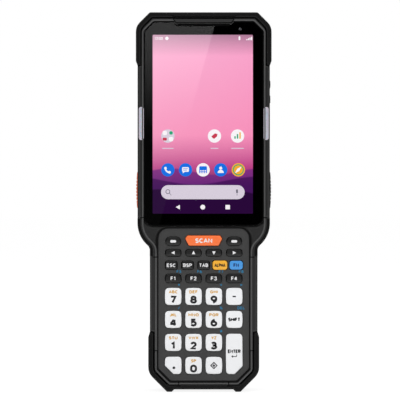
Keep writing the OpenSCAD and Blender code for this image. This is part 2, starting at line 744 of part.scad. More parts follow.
// Side view of the space that the battery swings in, grown by a gap below, drawn across a half width
module pack_space(half, gap, top) {
    low = pack_z - fit - gap;
    translate([-half, 0, 0]) rotate([90, 0, 90]) linear_extrude(2 * half)
        polygon([[at(seam_d - gap), top], [at(seam_d - gap), swing_z - fit - gap], [at(swing_d - 2), low],
            [at(total_d + 1), low], [at(total_d + 1), top]]);
}

plateau_w = 46;
plateau_h = 25;
plateau_z = total_h - 31.7;
plateau_d = head_d + 3;
camera_x = 12;
camera_z = plateau_z + 7.5;
camera_r = 4;
camera_front = head_d - 6;
flash_x = camera_x - 9;
flash_r = 1.6;
window_front = split_d + 1.2;
insert_d = head_d - insert_len - 0.1;
housing_top = total_h - top_bumper_t;
speaker_z = shelf_top + 23;
speaker_w = 18;
speaker_h = 11;
speaker_t = 3.6;
front_camera_x = 20.5;
front_camera_z = glass_top - 4;
front_camera_r = 1.1;
front_camera_back = panel_d + 2.4;

// Latch, its pocket and the channel of its spring
latch_z = hump_z + 1.4;
latch_d = total_d - 4;
latch_face = total_d - 0.6;
rail_w = 1.3;
rail_t = 1.4;
tongue_half = 4;
lug_t = 1.4;
spring_d = latch_d - spring_r - 0.5;
spring_z = latch_z + 0.2 + lug_t + 0.1;

module latch_pocket() {
    top = latch_z + latch_h + latch_travel + 0.5;
    block(-latch_w / 2 - fit, latch_w / 2 + fit, latch_d, total_d + 1, latch_z - fit, top);
    block(-latch_w / 2 - rail_w - fit, latch_w / 2 + rail_w + fit, latch_d, latch_d + rail_t + fit,
        latch_z - fit, top);
    block(-tongue_half - fit, tongue_half + fit, latch_d, latch_d + 2.1, hump_z - 3, latch_z);
    block(-spring_r - 0.4, spring_r + 0.4, spring_d - spring_r - 0.4, latch_d + eps,
        latch_z - fit, spring_z + spring_len + 0.1);
}

module battery_latch() {
    ridges = 4;
    color("#d9642c") {
        block(-latch_w / 2, latch_w / 2, latch_d + 0.2, latch_face, latch_z, latch_z + latch_h);
        block(-latch_w / 2 - rail_w, latch_w / 2 + rail_w, latch_d + 0.2, latch_d + rail_t,
            latch_z + 0.4, latch_z + latch_h - 0.4);
        for (i = [0:ridges - 1])
            block(2 - latch_w / 2, latch_w / 2 - 2, latch_face - eps, latch_face + 0.5,
                latch_z + 1.6 + i * 1.6, latch_z + 2.3 + i * 1.6);
        block(-tongue_half, tongue_half, latch_d + 0.2, latch_d + 1.8, hump_z, latch_z + 1);
        block(-spring_r - 0.1, spring_r + 0.1, spring_d - spring_r, latch_d + 0.3, latch_z + 0.2,
            latch_z + 0.2 + lug_t);
    }
}

module latch_spring() {
    turns = 6;
    per_turn = 12;
    sides = 6;
    mean_r = spring_r - wire_r;
    rings = turns * per_turn;
    rise = (spring_len - 2 * wire_r) / rings;
    centre = [0, at(spring_d), spring_z + wire_r];
    pts = [for (i = [0:rings]) for (j = [0:sides - 1])
        let (a = 360 * i / per_turn, b = 360 * j / sides, r = mean_r + wire_r * cos(b))
        centre + [r * cos(a), r * sin(a), i * rise + wire_r * sin(b)]];
    last = rings * sides;
    color("#b8bcc2")
    polyhedron(points = pts, faces = concat(
        [for (j = [1:sides - 2]) each [[0, j, j + 1], [last, last + j + 1, last + j]]],
        [for (i = [0:rings - 1]) for (j = [0:sides - 1])
            let (a = i * sides + j, b = i * sides + (j + 1) % sides)
            each [[b, a, a + sides], [b, a + sides, b + sides]]]));
}

// Contacts between the battery and the bay
contact_z = cell_top - 10;
contact_h = 6;
contact_sink = 0.4;
connector_half = 9;

module rear_housing() {
    back_wall = head_d - wall;
    color("#333335")
    difference() {
        union() {
            skin(housing_outline, concat([[split_d, groove], [split_d + groove, 0]], back_edge(head_d, 3.2, 3.5)));
            loft([for (s = concat([[split_d + 3, 0]], grip_back)) [s[0], rounded(hump_outline(s[0], s[1]))]]);
            loft([for (s = concat([[split_d + 4, 0]], grip_back)) [s[0], rounded(chin_outline(s[1]))]]);
            skin(box_outline(plateau_w, plateau_h, 5, 3, 0, plateau_z + plateau_h / 2),
                concat([[head_d - 2, 0]], back_edge(plateau_d, 2, 2)));
            plate_of(shrink(plate_outline, fit), bay_floor_d, split_d + 0.5);
        }
        // Space of the battery cover and its hooks
        pack_space(grip_x + fit, 0, hump_z);
        both_sides() block(hook_x - hook_w / 2 - fit, hook_x + hook_w / 2 + fit,
            hook_d - 2, hook_d + hook_t + fit, hook_z - fit, cell_z);
        // Bay of the cell block
        plate_of(box_outline(2 * cell_half + 1.2, bay_top - cell_z + 0.6, 2, 3, 0, (bay_top + cell_z - 0.6) / 2),
            bay_d, seam_d + 1);
        block(-connector_half - bond, connector_half + bond, bay_floor_d - 1, bay_d + 1,
            contact_z - bond, contact_z + contact_h + bond);
        // Head cavity, round the bosses of screws and inserts
        difference() {
            intersection() {
                plate_of(shrink(housing_outline, wall), split_d - 1, back_wall);
                block(-head_w, head_w, 0, total_d, glass_z + 1, total_h);
            }
            both_sides() for (z = head_screw_z) rod(head_screw_x, z, boss_r, split_d, head_d);
            both_sides() rod(insert_pitch / 2, insert_z, insert_out_r + 1.4, insert_d - 1.5, head_d);
        }
        both_sides() rod(insert_pitch / 2, insert_z, insert_out_r + bond, insert_d - bond, head_d + 1);
        // Scan window seat and the way through the top wall
        block(-window_w / 2 - bond, window_w / 2 + bond, window_front - bond, window_front + window_deep + bond,
            housing_top - 1.2, total_h);
        block(1 - window_w / 2, window_w / 2 - 1, window_front + 1, window_front + window_deep - 1,
            housing_top - wall - 1, total_h);
        // Camera, flash and loudspeaker
        rod(camera_x, camera_z, camera_r + bond, split_d, total_d);
        rod(flash_x, camera_z, flash_r + bond, split_d, total_d);
        for (i = [-3:3])
            plate_of(box_outline(1.2, speaker_h - 2, 0.55, 2, i * 2.3, speaker_z + speaker_h / 2),
                back_wall - 1, head_d + 1);
        // Side keys, latch and screws
        both_sides() side_opening(trigger_h, trigger_deep, trigger_z);
        rocker_opening();
        latch_pocket();
        screw_cuts(false);
    }
}

module scan_window() {
    color("#5a1420")
    block(-window_w / 2, window_w / 2, window_front, window_front + window_deep, housing_top - 1.2, housing_top - 0.1);
}

module scan_engine() {
    engine_w = 22;
    engine_h = 12;
    back = head_d - wall;
    top = housing_top - wall - 0.4;
    lens_d = window_front + window_deep / 2;
    color("#2d3138") {
        block(-engine_w / 2, engine_w / 2, window_front - 0.4, back, top - engine_h, top - 1.6);
        block(-engine_w / 2, -engine_w / 2 + 6, window_front + 0.6, back - 1, top - 2, top);
        translate([3, at(lens_d), top - 2]) cylinder(r = 3, h = 2);
    }
}

module rear_camera() {
    color("#15171b") {
        difference() {
            rod(camera_x, camera_z, camera_r, camera_front, plateau_d - 0.3);
            rod(camera_x, camera_z, camera_r * 0.3, plateau_d - 1.4, plateau_d, camera_r * 0.6);
        }
        rod(flash_x, camera_z, flash_r, head_d - wall, plateau_d - 0.3);
    }
}

module speaker() {
    color("#202226")
    plate_of(box_outline(speaker_w, speaker_h, 1.5, 2, 0, speaker_z + speaker_h / 2),
        head_d - wall - speaker_t, head_d - wall);
}

module accessory_inserts() {
    color("#c9a24a") both_sides()
    difference() {
        rod(insert_pitch / 2, insert_z, insert_out_r, insert_d, insert_d + insert_len);
        rod(insert_pitch / 2, insert_z, insert_r, insert_d + 0.8, head_d + 1);
    }
}

// ---------- Battery ----------

hook_x = 15;
hook_w = 6;
hook_t = 1.5;
hook_d = cover_d + 1.2;
hook_z = pack_z - 1.8;
nose_half = grip_x - back_reach - 1;

// The pack's lower edge rises from the nose to the seam
function pack_low(d) = d < swing_d
    ? pack_z + nose_r * (swing_d - d) / (swing_d - cover_d)
    : swing_z - sqrt(max(0, pow(nose_r, 2) - pow(d - swing_d, 2)));
function pack_outline(d, inset) =
    let (low = pack_low(d), top = pack_top - max(0, inset - 3.5) * 0.25)
    [[grip_x - inset, top, 3, 3], [grip_x - inset, low, 1, 2],
     [inset - grip_x, low, 1, 2], [inset - grip_x, top, 3, 3]];

module battery_pack() {
    color("#2b2b2e")
    difference() {
        union() {
            loft([for (s = concat([[cover_d, 0]], grip_back)) [s[0], rounded(pack_outline(s[0], s[1]))]]);
            plate_of(box_outline(2 * cell_half, cell_top - cell_z, 1.5, 3, 0, (cell_top + cell_z) / 2),
                cell_d, cover_d + 1);
            both_sides() block(hook_x - hook_w / 2, hook_x + hook_w / 2, hook_d, hook_d + hook_t, hook_z, swing_z);
            // The round nose that the pack swings on
            translate([0, at(swing_d), swing_z]) rotate([0, 90, 0])
                cylinder(r = nose_r - bond, h = 2 * nose_half, center = true);
        }
        // Keeper notch of the latch and the sunk field of the contacts
        block(-tongue_half - 0.5, tongue_half + 0.5, latch_d - 0.4, total_d - 1, pack_top - 2.2, pack_top + 1);
        block(-connector_half - 0.6, connector_half + 0.6, cell_d - 1, cell_d + contact_sink,
            contact_z - 0.6, contact_z + contact_h + 0.6);
    }
}

module battery_contacts() {
    color("#d8b04a")
    for (x = [-6, -2, 2, 6])
        block(x - 1.2, x + 1.2, cell_d + contact_sink / 2, cell_d + contact_sink, contact_z + 0.5,
            contact_z + contact_h - 0.5);
}

module bay_connector() {
    color("#1c1d20") {
        block(-connector_half, connector_half, bay_floor_d, bay_d, contact_z, contact_z + contact_h);
        for (x = [-6, -2, 2, 6])
            block(x - 0.6, x + 0.6, bay_d - eps, cell_d, contact_z + 1.5, contact_z + contact_h - 1.5);
    }
}

// ---------- Bumpers and the dock ----------

dock_half = 8.6;
dock_front = 7.4;
dock_deep = 7.2;

module top_bumper() {
    mouth = window_w / 2 + 0.8;
    notch = receiver_half + 0.5;
    color("#26262a")
    difference() {
        skin(top_bumper_outline, concat(front_edge(0, 0.9, 0.9), back_edge(head_d - 0.6, 0.9, 1.2)));
        // Shallow notch over the receiver bar, wider at its upper edge
        slab(-1, rim_d + 0.6) polygon([[-notch, housing_top - 1], [notch, housing_top - 1], [notch, housing_top],
            [notch + 3, total_h - 1.7], [-notch - 3, total_h - 1.7], [-notch, housing_top]]);
        // Mouth of the scan window, wider outside
        slab(window_front - 0.8, window_front + window_deep + 0.6)
            polygon([[-mouth, housing_top - 1], [mouth, housing_top - 1], [mouth + 2, total_h + 1], [-mouth - 2, total_h + 1]]);
    }
}

module bottom_bumper() {
    color("#26262a")
    difference() {
        skin(bottom_bumper_outline, concat(front_edge(0, 0.9, 0.9), back_edge(total_d - 4, 0.9, 1.2)));
        // Wedge hollows between the middle and the lobes
        both_sides() slab(-1, 0.9) polygon([[12.7, floor_z - 1.9], [12.7, floor_z + 1], [lobe_x, floor_z + 1],
            [lobe_x, floor_z - 1]]);
        // The bumper stays below the battery
        pack_space(head_w, 0.2, total_h);
        block(-dock_half - 0.4, dock_half + 0.4, dock_front - 0.4, dock_front + dock_deep + 0.4, -1, floor_z + 1);
    }
}

module dock_contacts() {
    pads = 6;
    pad_pitch = 2.6;
    color("#d8b04a") {
        block(-dock_half, dock_half, dock_front, dock_front + dock_deep, floor_z - 1.6, floor_z);
        for (i = [0:pads - 1])
            block((i - (pads - 1) / 2) * pad_pitch - 0.8, (i - (pads - 1) / 2) * pad_pitch + 0.8,
                dock_front + 1.8, dock_front + dock_deep - 1.8, floor_z - 1.8, floor_z - 1);
    }
}

front_housing();
rear_housing();
top_bumper();
bottom_bumper();
cover_glass();
display_panel();
receiver_mesh();
front_camera();
light_guides();
keypad_plate();
keypad_membrane();
keypad_board();
key_domes();
main_board();
scan_window();
scan_engine();
rear_camera();
speaker();
battery_pack();
battery_contacts();
bay_connector();
battery_latch();
latch_spring();
dock_contacts();
housing_screws();
accessory_inserts();
trigger_left();
trigger_right();
volume_rocker();
for (k = KEYS) key(k);
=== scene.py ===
import json
import math

import bmesh
import bpy
from mathutils import Matrix, Vector


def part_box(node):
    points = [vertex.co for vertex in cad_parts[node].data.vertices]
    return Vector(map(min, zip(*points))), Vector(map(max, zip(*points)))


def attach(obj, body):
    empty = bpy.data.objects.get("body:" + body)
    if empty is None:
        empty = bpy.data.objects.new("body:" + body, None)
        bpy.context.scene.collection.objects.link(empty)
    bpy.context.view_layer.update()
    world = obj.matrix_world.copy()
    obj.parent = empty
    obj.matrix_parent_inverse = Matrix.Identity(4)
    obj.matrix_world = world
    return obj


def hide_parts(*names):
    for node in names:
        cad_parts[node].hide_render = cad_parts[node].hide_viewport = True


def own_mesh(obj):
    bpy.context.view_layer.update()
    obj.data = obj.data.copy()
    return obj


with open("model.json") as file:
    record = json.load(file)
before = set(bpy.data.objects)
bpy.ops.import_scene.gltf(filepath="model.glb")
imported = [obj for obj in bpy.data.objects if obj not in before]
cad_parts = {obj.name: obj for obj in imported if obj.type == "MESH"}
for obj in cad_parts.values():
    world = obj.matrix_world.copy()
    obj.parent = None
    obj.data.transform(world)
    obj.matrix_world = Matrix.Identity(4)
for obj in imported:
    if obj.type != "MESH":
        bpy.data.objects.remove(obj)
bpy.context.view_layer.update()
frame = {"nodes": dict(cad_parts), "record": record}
CAD = frame["nodes"]
SLOT_OF = {sub["node"]: sub["material_slot"] for sub in frame["record"]["subparts"]}
BODY_OF = {name: body for body, names in frame["record"]["behaviour"]["bodies"].items() for name in names}

MM = 0.001
FRONT_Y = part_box("top_bumper")[0].y


def at(depth):
    """Y of a depth in millimetres behind the front of the bumpers."""
    return FRONT_Y + depth * MM


def depth_of(y):
    return (y - FRONT_Y) / MM


def box_mm(name):
    """A node's box in millimetres: x0, x1, front depth, back depth, z0, z1."""
    low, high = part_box(name)
    return (low.x / MM, high.x / MM, depth_of(low.y), depth_of(high.y), low.z / MM, high.z / MM)


# ---------- Sizes taken from the frame ----------

GLASS = box_mm("cover_glass")
PANEL = box_mm("display_panel")
PLATE = box_mm("keypad_plate")
HOUSING = box_mm("front_housing")
GUIDES = box_mm("light_guides")
CAMERA = box_mm("front_camera")
PANEL_FRAME = 1.6
LEFT_MARGIN = 0.36
RIGHT_MARGIN = 0.12
LIT = (PANEL[0] + PANEL_FRAME + LEFT_MARGIN, PANEL[1] - PANEL_FRAME - RIGHT_MARGIN,
       PANEL[4] + PANEL_FRAME, PANEL[5] - PANEL_FRAME)
GLASS_BACK = GLASS[3]
SCREEN_FRONT = PANEL[2]


# ---------- Shader nodes ----------

class Signal:
    """What one output of a node gives. Arithmetic with signals and numbers adds the nodes for it."""

    def __init__(self, tree, socket):
        self.tree = tree
        self.socket = socket

    def __add__(self, other):
        return calc("ADD", self, other)

    def __sub__(self, other):
        return calc("SUBTRACT", self, other)

    def __rsub__(self, other):
        return calc("SUBTRACT", other, self)

    def __mul__(self, other):
        return calc("MULTIPLY", self, other)

    def __truediv__(self, other):
        return calc("DIVIDE", self, other)

    def __abs__(self):
        return calc("ABSOLUTE", self)

    def ranged(self, low, high, to_low=0.0, to_high=1.0, smooth=False):
        """Maps the range from low to high onto another one, and holds its ends beyond."""
        return signal(self.tree, "MapRange", {0: self, 1: low, 2: high, 3: to_low, 4: to_high},
            interpolation_type="SMOOTHSTEP" if smooth else "LINEAR")


def tree_of(*values):
    return next(value.tree for value in values if isinstance(value, Signal))


def join(node, inputs):
    """Gives a node its inputs by name or number, as plain values or as signals."""
    for key, value in inputs.items():
        if isinstance(value, Signal):
            value.tree.links.new(value.socket, node.inputs[key])
        else:
            node.inputs[key].default_value = value


def add(tree, kind, inputs=None, family="ShaderNode", **settings):
    node = tree.nodes.new(family + kind)
    for key, value in settings.items():
        setattr(node, key, value)
    join(node, inputs or {})
    return node


def outputs(tree, node):
    return {socket.name: Signal(tree, socket) for socket in node.outputs}


def signal(tree, kind, inputs=None, output=0, **settings):
    """One output of a new node, by name or number."""
    return Signal(tree, add(tree, kind, inputs, **settings).outputs[output])


def calc(operation, a, b=0.0, clamp=False):
    return signal(tree_of(a, b), "Math", {0: a, 1: b}, operation=operation, use_clamp=clamp)


def mixed(share, a, b):
    return signal(share.tree, "Mix", {0: share, 6: a, 7: b}, 2, data_type="RGBA")


def scaled(vector, scale):
    return signal(tree_of(vector, scale), "VectorMath", {0: vector, "Scale": scale}, operation="SCALE")


def place(tree):
    """Object coordinates in millimetres, as a vector."""
    coords = signal(tree, "TexCoord", output="Object")
    return signal(tree, "VectorMath", {0: coords, 1: (1 / MM,) * 3}, operation="MULTIPLY")


def parts_of(vector):
    return list(outputs(vector.tree, add(vector.tree, "SeparateXYZ", {0: vector})).values())


def cloud(tree, scale, detail=2.0, roughness=0.5, where=None):
    """Soft noise, with its scale in waves a millimetre."""
    return signal(tree, "TexNoise",
        {"Vector": where or place(tree), "Scale": scale, "Detail": detail, "Roughness": roughness})


def cells(tree, scale, feature="F1"):
    """Distance to the middle of the nearest of many small cells, with their number a millimetre."""
    return signal(tree, "TexVoronoi", {"Vector": place(tree), "Scale": scale}, "Distance", feature=feature)


def relief(height, deep, normal=None):
    """The normal of a surface with a relief some millimetres deep."""
    inputs = {"Height": height, "Distance": deep * MM}
    if normal:
        inputs["Normal"] = normal
    return signal(height.tree, "Bump", inputs)


def fresh_tree(owner):
    owner.use_nodes = True
    owner.node_tree.nodes.clear()
    return owner.node_tree


def node_group(name, kind, given, results):
    """A node group with named sockets: its tree, the signals it is given and the node for its results."""
    tree = bpy.data.node_groups.new(name, kind)
    for label, socket_kind, *value in given:
        socket = tree.interface.new_socket(label, in_out="INPUT", socket_type="NodeSocket" + socket_kind)
        if value:
            socket.default_value = value[0]
    for label, socket_kind in results:
        tree.interface.new_socket(label, in_out="OUTPUT", socket_type="NodeSocket" + socket_kind)
    return tree, outputs(tree, tree.nodes.new("NodeGroupInput")), tree.nodes.new("NodeGroupOutput")


def use(tree, group, inputs):
    """The outputs of a shared node group."""
    return outputs(tree, add(tree, "Group", inputs, node_tree=group))


# ---------- Camera, light and floor ----------

EYE = Vector((-0.00208, -1.215, 0.1075))
VIEW_W = 0.224
SENSOR_W = 36.0
WHITE = (1, 1, 1, 1)
BLACK = (0, 0, 0, 1)
ROOM_LIGHT = 0.62
FLOOR_REACH = 12


def make_camera():
    bpy.context.scene.view_settings.view_transform = "Standard"
    lens = bpy.data.cameras.new("camera")
    lens.sensor_width = SENSOR_W
    lens.lens = SENSOR_W * (FRONT_Y - EYE.y) / VIEW_W
    camera = bpy.data.objects.new("camera", lens)
    camera.location = EYE
    camera.rotation_euler = (math.pi / 2, 0, 0)
    bpy.context.scene.collection.objects.link(camera)
    bpy.context.scene.camera = camera


def seen_directly(tree):
    """1 for camera, glossy and transmission rays, and 0 for the light that falls on the object."""
    path = outputs(tree, add(tree, "LightPath"))
    both = calc("MAXIMUM", path["Is Camera Ray"], path["Is Glossy Ray"])
    return calc("MAXIMUM", both, path["Is Transmission Ray"])


def make_world():
    world = bpy.data.worlds.new("studio")
    bpy.context.scene.world = world
    tree = fresh_tree(world)
    room = signal(tree, "Background", {"Color": WHITE, "Strength": ROOM_LIGHT})
    backdrop = signal(tree, "Background", {"Color": WHITE, "Strength": 1.0})
    both = signal(tree, "MixShader", {0: seen_directly(tree), 1: room, 2: backdrop})
    add(tree, "OutputWorld", {"Surface": both})


def flat_sheet(name, corners, material, hidden_from=()):
    mesh = bpy.data.meshes.new(name)
    mesh.from_pydata(corners, [], [(0, 1, 2, 3)])
    mesh.materials.append(material)
    sheet = bpy.data.objects.new(name, mesh)
    bpy.context.scene.collection.objects.link(sheet)
    for ray in hidden_from:
        setattr(sheet, "visible_" + ray, False)


def make_floor():
    material = bpy.data.materials.new("studio_floor")
    tree = fresh_tree(material)
    pale = signal(tree, "BsdfDiffuse", {"Color": (0.8, 0.8, 0.8, 1)})
    shade = signal(tree, "BsdfDiffuse", {"Color": (0.22, 0.22, 0.22, 1)})
    glow = signal(tree, "Emission", {"Color": WHITE, "Strength": 0.86})
    shown = signal(tree, "AddShader", {0: shade, 1: glow})
    both = signal(tree, "MixShader", {0: seen_directly(tree), 1: pale, 2: shown})
    add(tree, "OutputMaterial", {"Surface": both})
    far = FLOOR_REACH
    flat_sheet("floor", [(-far, -far, 0), (far, -far, 0), (far, far, 0), (-far, far, 0)], material)


# Name, place, width and power of the lamps, which all point at the middle of the terminal
LAMPS = [("key_light", (-0.9, -1.4, 1.3), 0.9, 11), ("fill_light", (1.1, -1.2, 0.5), 1.0, 5),
         ("back_light", (0.5, 1.5, 1.2), 1.0, 10)]
LAMP_AIM = Vector((0, 0, 0.11))


def make_lamps():
    for name, where, size, power in LAMPS:
        data = bpy.data.lights.new(name, "AREA")
        data.shape = "DISK"
        data.size = size
        data.energy = power
        lamp = bpy.data.objects.new(name, data)
        lamp.location = where
        lamp.rotation_euler = (LAMP_AIM - Vector(where)).to_track_quat("-Z", "Y").to_euler()
        lamp.visible_glossy = False
        bpy.context.scene.collection.objects.link(lamp)


# The dark card behind the camera, which the cover glass mirrors: pale on the upper left, with a slanting edge
CARD_Y = -1.3
MIRROR_SCALE = 1 + (FRONT_Y - CARD_Y) / (FRONT_Y - EYE.y)
CARD_HALF = 0.75
SHEEN_TOP = 210
SHEEN_END = 142
SHEEN_BASE = 0.04
SHEEN_EDGE_X = -5.4
SHEEN_EDGE_Z = 163.5
SHEEN_SLOPE = 0.2786
SHEEN_BLUR = 0.3
SHEEN = 0.95
CARD_LEVEL = 0.3
CARD_FADE = (2, 12)


def make_reflection_card():
    material = bpy.data.materials.new("reflection_card")
    tree = fresh_tree(material)
    x, _, z = parts_of(place(tree))
    # Where the ray to the card left the glass, in millimetres
    glass_x = (x - EYE.x / MM) / MIRROR_SCALE + EYE.x / MM
    glass_z = (z - EYE.z / MM) / MIRROR_SCALE + EYE.z / MM
    slant = (glass_z - SHEEN_EDGE_Z) * SHEEN_SLOPE
    left = (glass_x - SHEEN_EDGE_X - slant).ranged(SHEEN_BLUR, -SHEEN_BLUR)
    sheen = glass_z.ranged(SHEEN_END, SHEEN_TOP, SHEEN_BASE, SHEEN, smooth=True) * left
    # Outside the part that the glass mirrors, the card has an even level for the matt surfaces
    middle, half = (GLASS[4] + GLASS[5]) / 2, (GLASS[5] - GLASS[4]) / 2
    out_x = abs(glass_x).ranged(*(GLASS[1] + fade for fade in CARD_FADE))
    out_z = abs(glass_z - middle).ranged(*(half + fade for fade in CARD_FADE))
    outside = calc("MAXIMUM", out_x, out_z)
    level = signal(tree, "Mix", {0: outside, 2: sheen, 3: CARD_LEVEL}, data_type="FLOAT")
    add(tree, "OutputMaterial", {"Surface": signal(tree, "Emission", {"Color": WHITE, "Strength": level})})
    x0, x1, z0, z1 = EYE.x - CARD_HALF, EYE.x + CARD_HALF, EYE.z - CARD_HALF, EYE.z + CARD_HALF
    corners = [(x0, CARD_Y, z0), (x0, CARD_Y, z1), (x1, CARD_Y, z1), (x1, CARD_Y, z0)]
    flat_sheet("reflection_card", corners, material, ("camera", "diffuse", "shadow"))


FLAG_X = 0.5
FLAG_REACH = 0.9
FLAG_H = 0.8


def make_flags():
    """Black flags beside the camera's view: the rounded sides mirror them, which draws their edges."""
    material = bpy.data.materials.new("flag_black")
    tree = fresh_tree(material)
    glow = signal(tree, "Emission", {"Color": (0.02, 0.02, 0.02, 1), "Strength": 1.0})
    add(tree, "OutputMaterial", {"Surface": glow})
    for name, x in (("flag_left", -FLAG_X), ("flag_right", FLAG_X)):
        corners = [(x, -FLAG_REACH, 0), (x, FLAG_REACH, 0), (x, FLAG_REACH, FLAG_H), (x, -FLAG_REACH, FLAG_H)]
        flat_sheet(name, corners, material, ("camera", "diffuse", "transmission", "shadow"))


make_camera()
make_world()
make_floor()
make_reflection_card()
make_flags()
make_lamps()


# ---------- Shared surface effects ----------

def moulded_texture_group():
    """Spark texture of a moulding tool: fine grain, a slow change of shade and of gloss."""
    tree, given, results = node_group("moulded_texture", "ShaderNodeTree",
        [("Colour", "Color", (0.1, 0.1, 0.1, 1)), ("Grains per mm", "Float", 3.0), ("Mottle", "Float", 0.15),
         ("Roughness", "Float", 0.5), ("Spread", "Float", 0.1)],
        [("Colour", "Color"), ("Roughness", "Float"), ("Height", "Float")])
    fine = cloud(tree, given["Grains per mm"], 2.0, 0.6)
    pits = cells(tree, given["Grains per mm"], "SMOOTH_F1")
    slow = cloud(tree, 0.055, 3.0, 0.55)
    height = (fine + pits) * 0.5
    shade = (slow * 1.4 + height * 0.6 - 1.0) * given["Mottle"] + 1.0
    gloss = (slow - 0.5) * given["Spread"]
    join(results, {"Colour": scaled(given["Colour"], shade), "Height": height,
        "Roughness": calc("ADD", given["Roughness"], gloss, clamp=True)})
    return tree


def edge_wear_group():
    """Where handling has rubbed the edges: a broken mask along them, an unbroken painted highlight along
    their rounds, and the normal of a small round.
    """
    tree, given, results = node_group("edge_wear", "ShaderNodeTree",
        [("Radius mm", "Float", 0.3), ("Amount", "Float", 0.5)],
        [("Mask", "Float"), ("Edge highlight", "Float"), ("Normal", "Vector")])
    soft = signal(tree, "Bevel", {"Radius": given["Radius mm"] * MM}, samples=8)
    hard = signal(tree, "NewGeometry", output="Normal")
    along = signal(tree, "VectorMath", {0: soft, 1: hard}, "Value", operation="DOT_PRODUCT")
    broken = cloud(tree, 0.9, 4.0, 0.7).ranged(0.42, 0.62)
    mask = calc("MULTIPLY", along.ranged(0.995, 0.85, smooth=True) * broken, given["Amount"], clamp=True)
    # Painted highlight: the half of an edge's round that still faces front or back, lightened unbroken as if
    # it caught the light
    turning = abs(parts_of(soft)[1]).ranged(0.985, 0.93, smooth=True)
    edge_highlight = turning * abs(parts_of(hard)[1]).ranged(0.93, 0.97)
    join(results, {"Mask": mask, "Edge highlight": edge_highlight, "Normal": soft})
    return tree


MOULDED = moulded_texture_group()
WORN = edge_wear_group()


# ---------- Materials ----------

def srgb(r, g, b):
    """A colour written in 0 to 255 as it shows on a display."""
    def linear(v):
        v = v / 255
        return v / 12.92 if v <= 0.04045 else ((v + 0.055) / 1.055) ** 2.4
    return (linear(r), linear(g), linear(b), 1)


def grey(v):
    return srgb(v, v, v)


def toned(colour, share, extra=0.0):
    """A lighter or darker tone of a colour."""
    return tuple(min(1, share * c + extra) for c in colour[:3]) + (1,)


def material(name, **constants):
    """A new material, its tree and its Principled shader with plain values on its sockets."""
    made = bpy.data.materials.new(name)
    tree = fresh_tree(made)
    shader = add(tree, "BsdfPrincipled", {key.replace("_", " "): value for key, value in constants.items()})
    add(tree, "OutputMaterial", {"Surface": Signal(tree, shader.outputs[0])})
    return made, tree, shader


def moulded(name, colour, grains=3.0, depth=0.02, roughness=0.55, mottle=0.18, spread=0.12,
            edge=0.35, wear=0.25, worn_colour=None, edge_highlight=0.0, edge_highlight_colour=None, flank_shade=None, **constants):
    """Moulded plastic or rubber: tool texture, uneven shade, rubbed edges, a painted highlight along the
    rounds of edges and painted shade on flanks that turn away.
    """
    made, tree, shader = material(name, **constants)
    skin = use(tree, MOULDED, {"Colour": colour, "Grains per mm": grains, "Mottle": mottle,
        "Roughness": roughness, "Spread": spread})
    worn = use(tree, WORN, {"Radius mm": edge, "Amount": wear})
    shade = mixed(worn["Mask"], skin["Colour"], worn_colour or toned(colour, 1.6, 0.01))
    # Painted highlight: the edge's round takes a paler colour
    if edge_highlight:
        shade = mixed(worn["Edge highlight"] * edge_highlight, shade, edge_highlight_colour)
    # Painted shade: surfaces that turn away from the front take the darker flank colour
    if flank_shade:
        turned = abs(parts_of(signal(tree, "NewGeometry", output="True Normal"))[1])
        shade = mixed(turned.ranged(0.97, 0.75), shade, flank_shade)
    join(shader, {"Base Color": shade, "Normal": relief(skin["Height"], depth, worn["Normal"]),
        "Roughness": calc("SUBTRACT", skin["Roughness"], worn["Mask"] * 0.15, clamp=True)})
    return made


def metal(name, colour, roughness=0.3, edge=0.12):
    """Bare or plated metal with fine drawn lines."""
    made, tree, shader = material(name, Metallic=1.0)
    stretched = signal(tree, "VectorMath", {0: place(tree), 1: (1, 1, 30)}, operation="MULTIPLY")
    lines = cloud(tree, 1.2, 4.0, where=stretched)
    worn = use(tree, WORN, {"Radius mm": edge, "Amount": 0.5})
    join(shader, {"Base Color": mixed(lines * 0.5, colour, toned(colour, 0.6)),
        "Roughness": lines.ranged(0.2, 0.8, roughness - 0.1, roughness + 0.12),
        "Normal": relief(lines, 0.01, worn["Normal"])})
    return made


# Just below the face of the plate a key's sides turn near black: painted shade of the gap round the key
GAP_SHADE_Y = at(PLATE[2] + 0.35) / MM


def key_coating(name, colour, roughness=0.32):
    """Hard coated cap whose sides turn near black below the plate's face: painted shade of the gap round it.
    """
    made, tree, shader = material(name, Coat_Roughness=0.12, Specular_IOR_Level=0.4)
    skin = use(tree, MOULDED, {"Colour": colour, "Grains per mm": 1.4, "Mottle": 0.05,
        "Roughness": roughness, "Spread": 0.08})
    worn = use(tree, WORN, {"Radius mm": 0.3, "Amount": 0.12})
    gap_shade = parts_of(place(tree))[1].ranged(GAP_SHADE_Y, GAP_SHADE_Y + 0.05)
    rubbed = mixed(worn["Mask"], skin["Colour"], toned(colour, 1.25, 0.01))
    join(shader, {"Base Color": mixed(gap_shade, rubbed, grey(8)),
        "Coat Weight": gap_shade.ranged(0.0, 1.0, 0.25, 0.0),
        "Roughness": calc("MAXIMUM", skin["Roughness"], gap_shade * 0.8),
        "Normal": relief(skin["Height"], 0.012, worn["Normal"])})
    return made


def tinted(name, texture, size, first, second, gloss, deep=0.0, **constants):
    """A surface between two colours and two roughnesses, as one texture of a size says."""
    made, tree, shader = material(name, **constants)
    share = texture(tree, *size)
    join(shader, {"Base Color": mixed(share, first, second), "Roughness": share.ranged(*gloss)})
    if deep:
        join(shader, {"Normal": relief(share, deep)})
    return made


def key_ink(name, colour):
    """Printed legend: slightly uneven ink."""
    return tinted(name, cloud, (3.0, 3.0), colour, toned(colour, 0.82, 0.02), (0.3, 0.7, 0.4, 0.55), 0.004,
        Specular_IOR_Level=0.3)


# What the cover glass takes from the light of the panel is added to it
GLASS_LOSS = 1.09
RASTER_PER_MM = 9.0

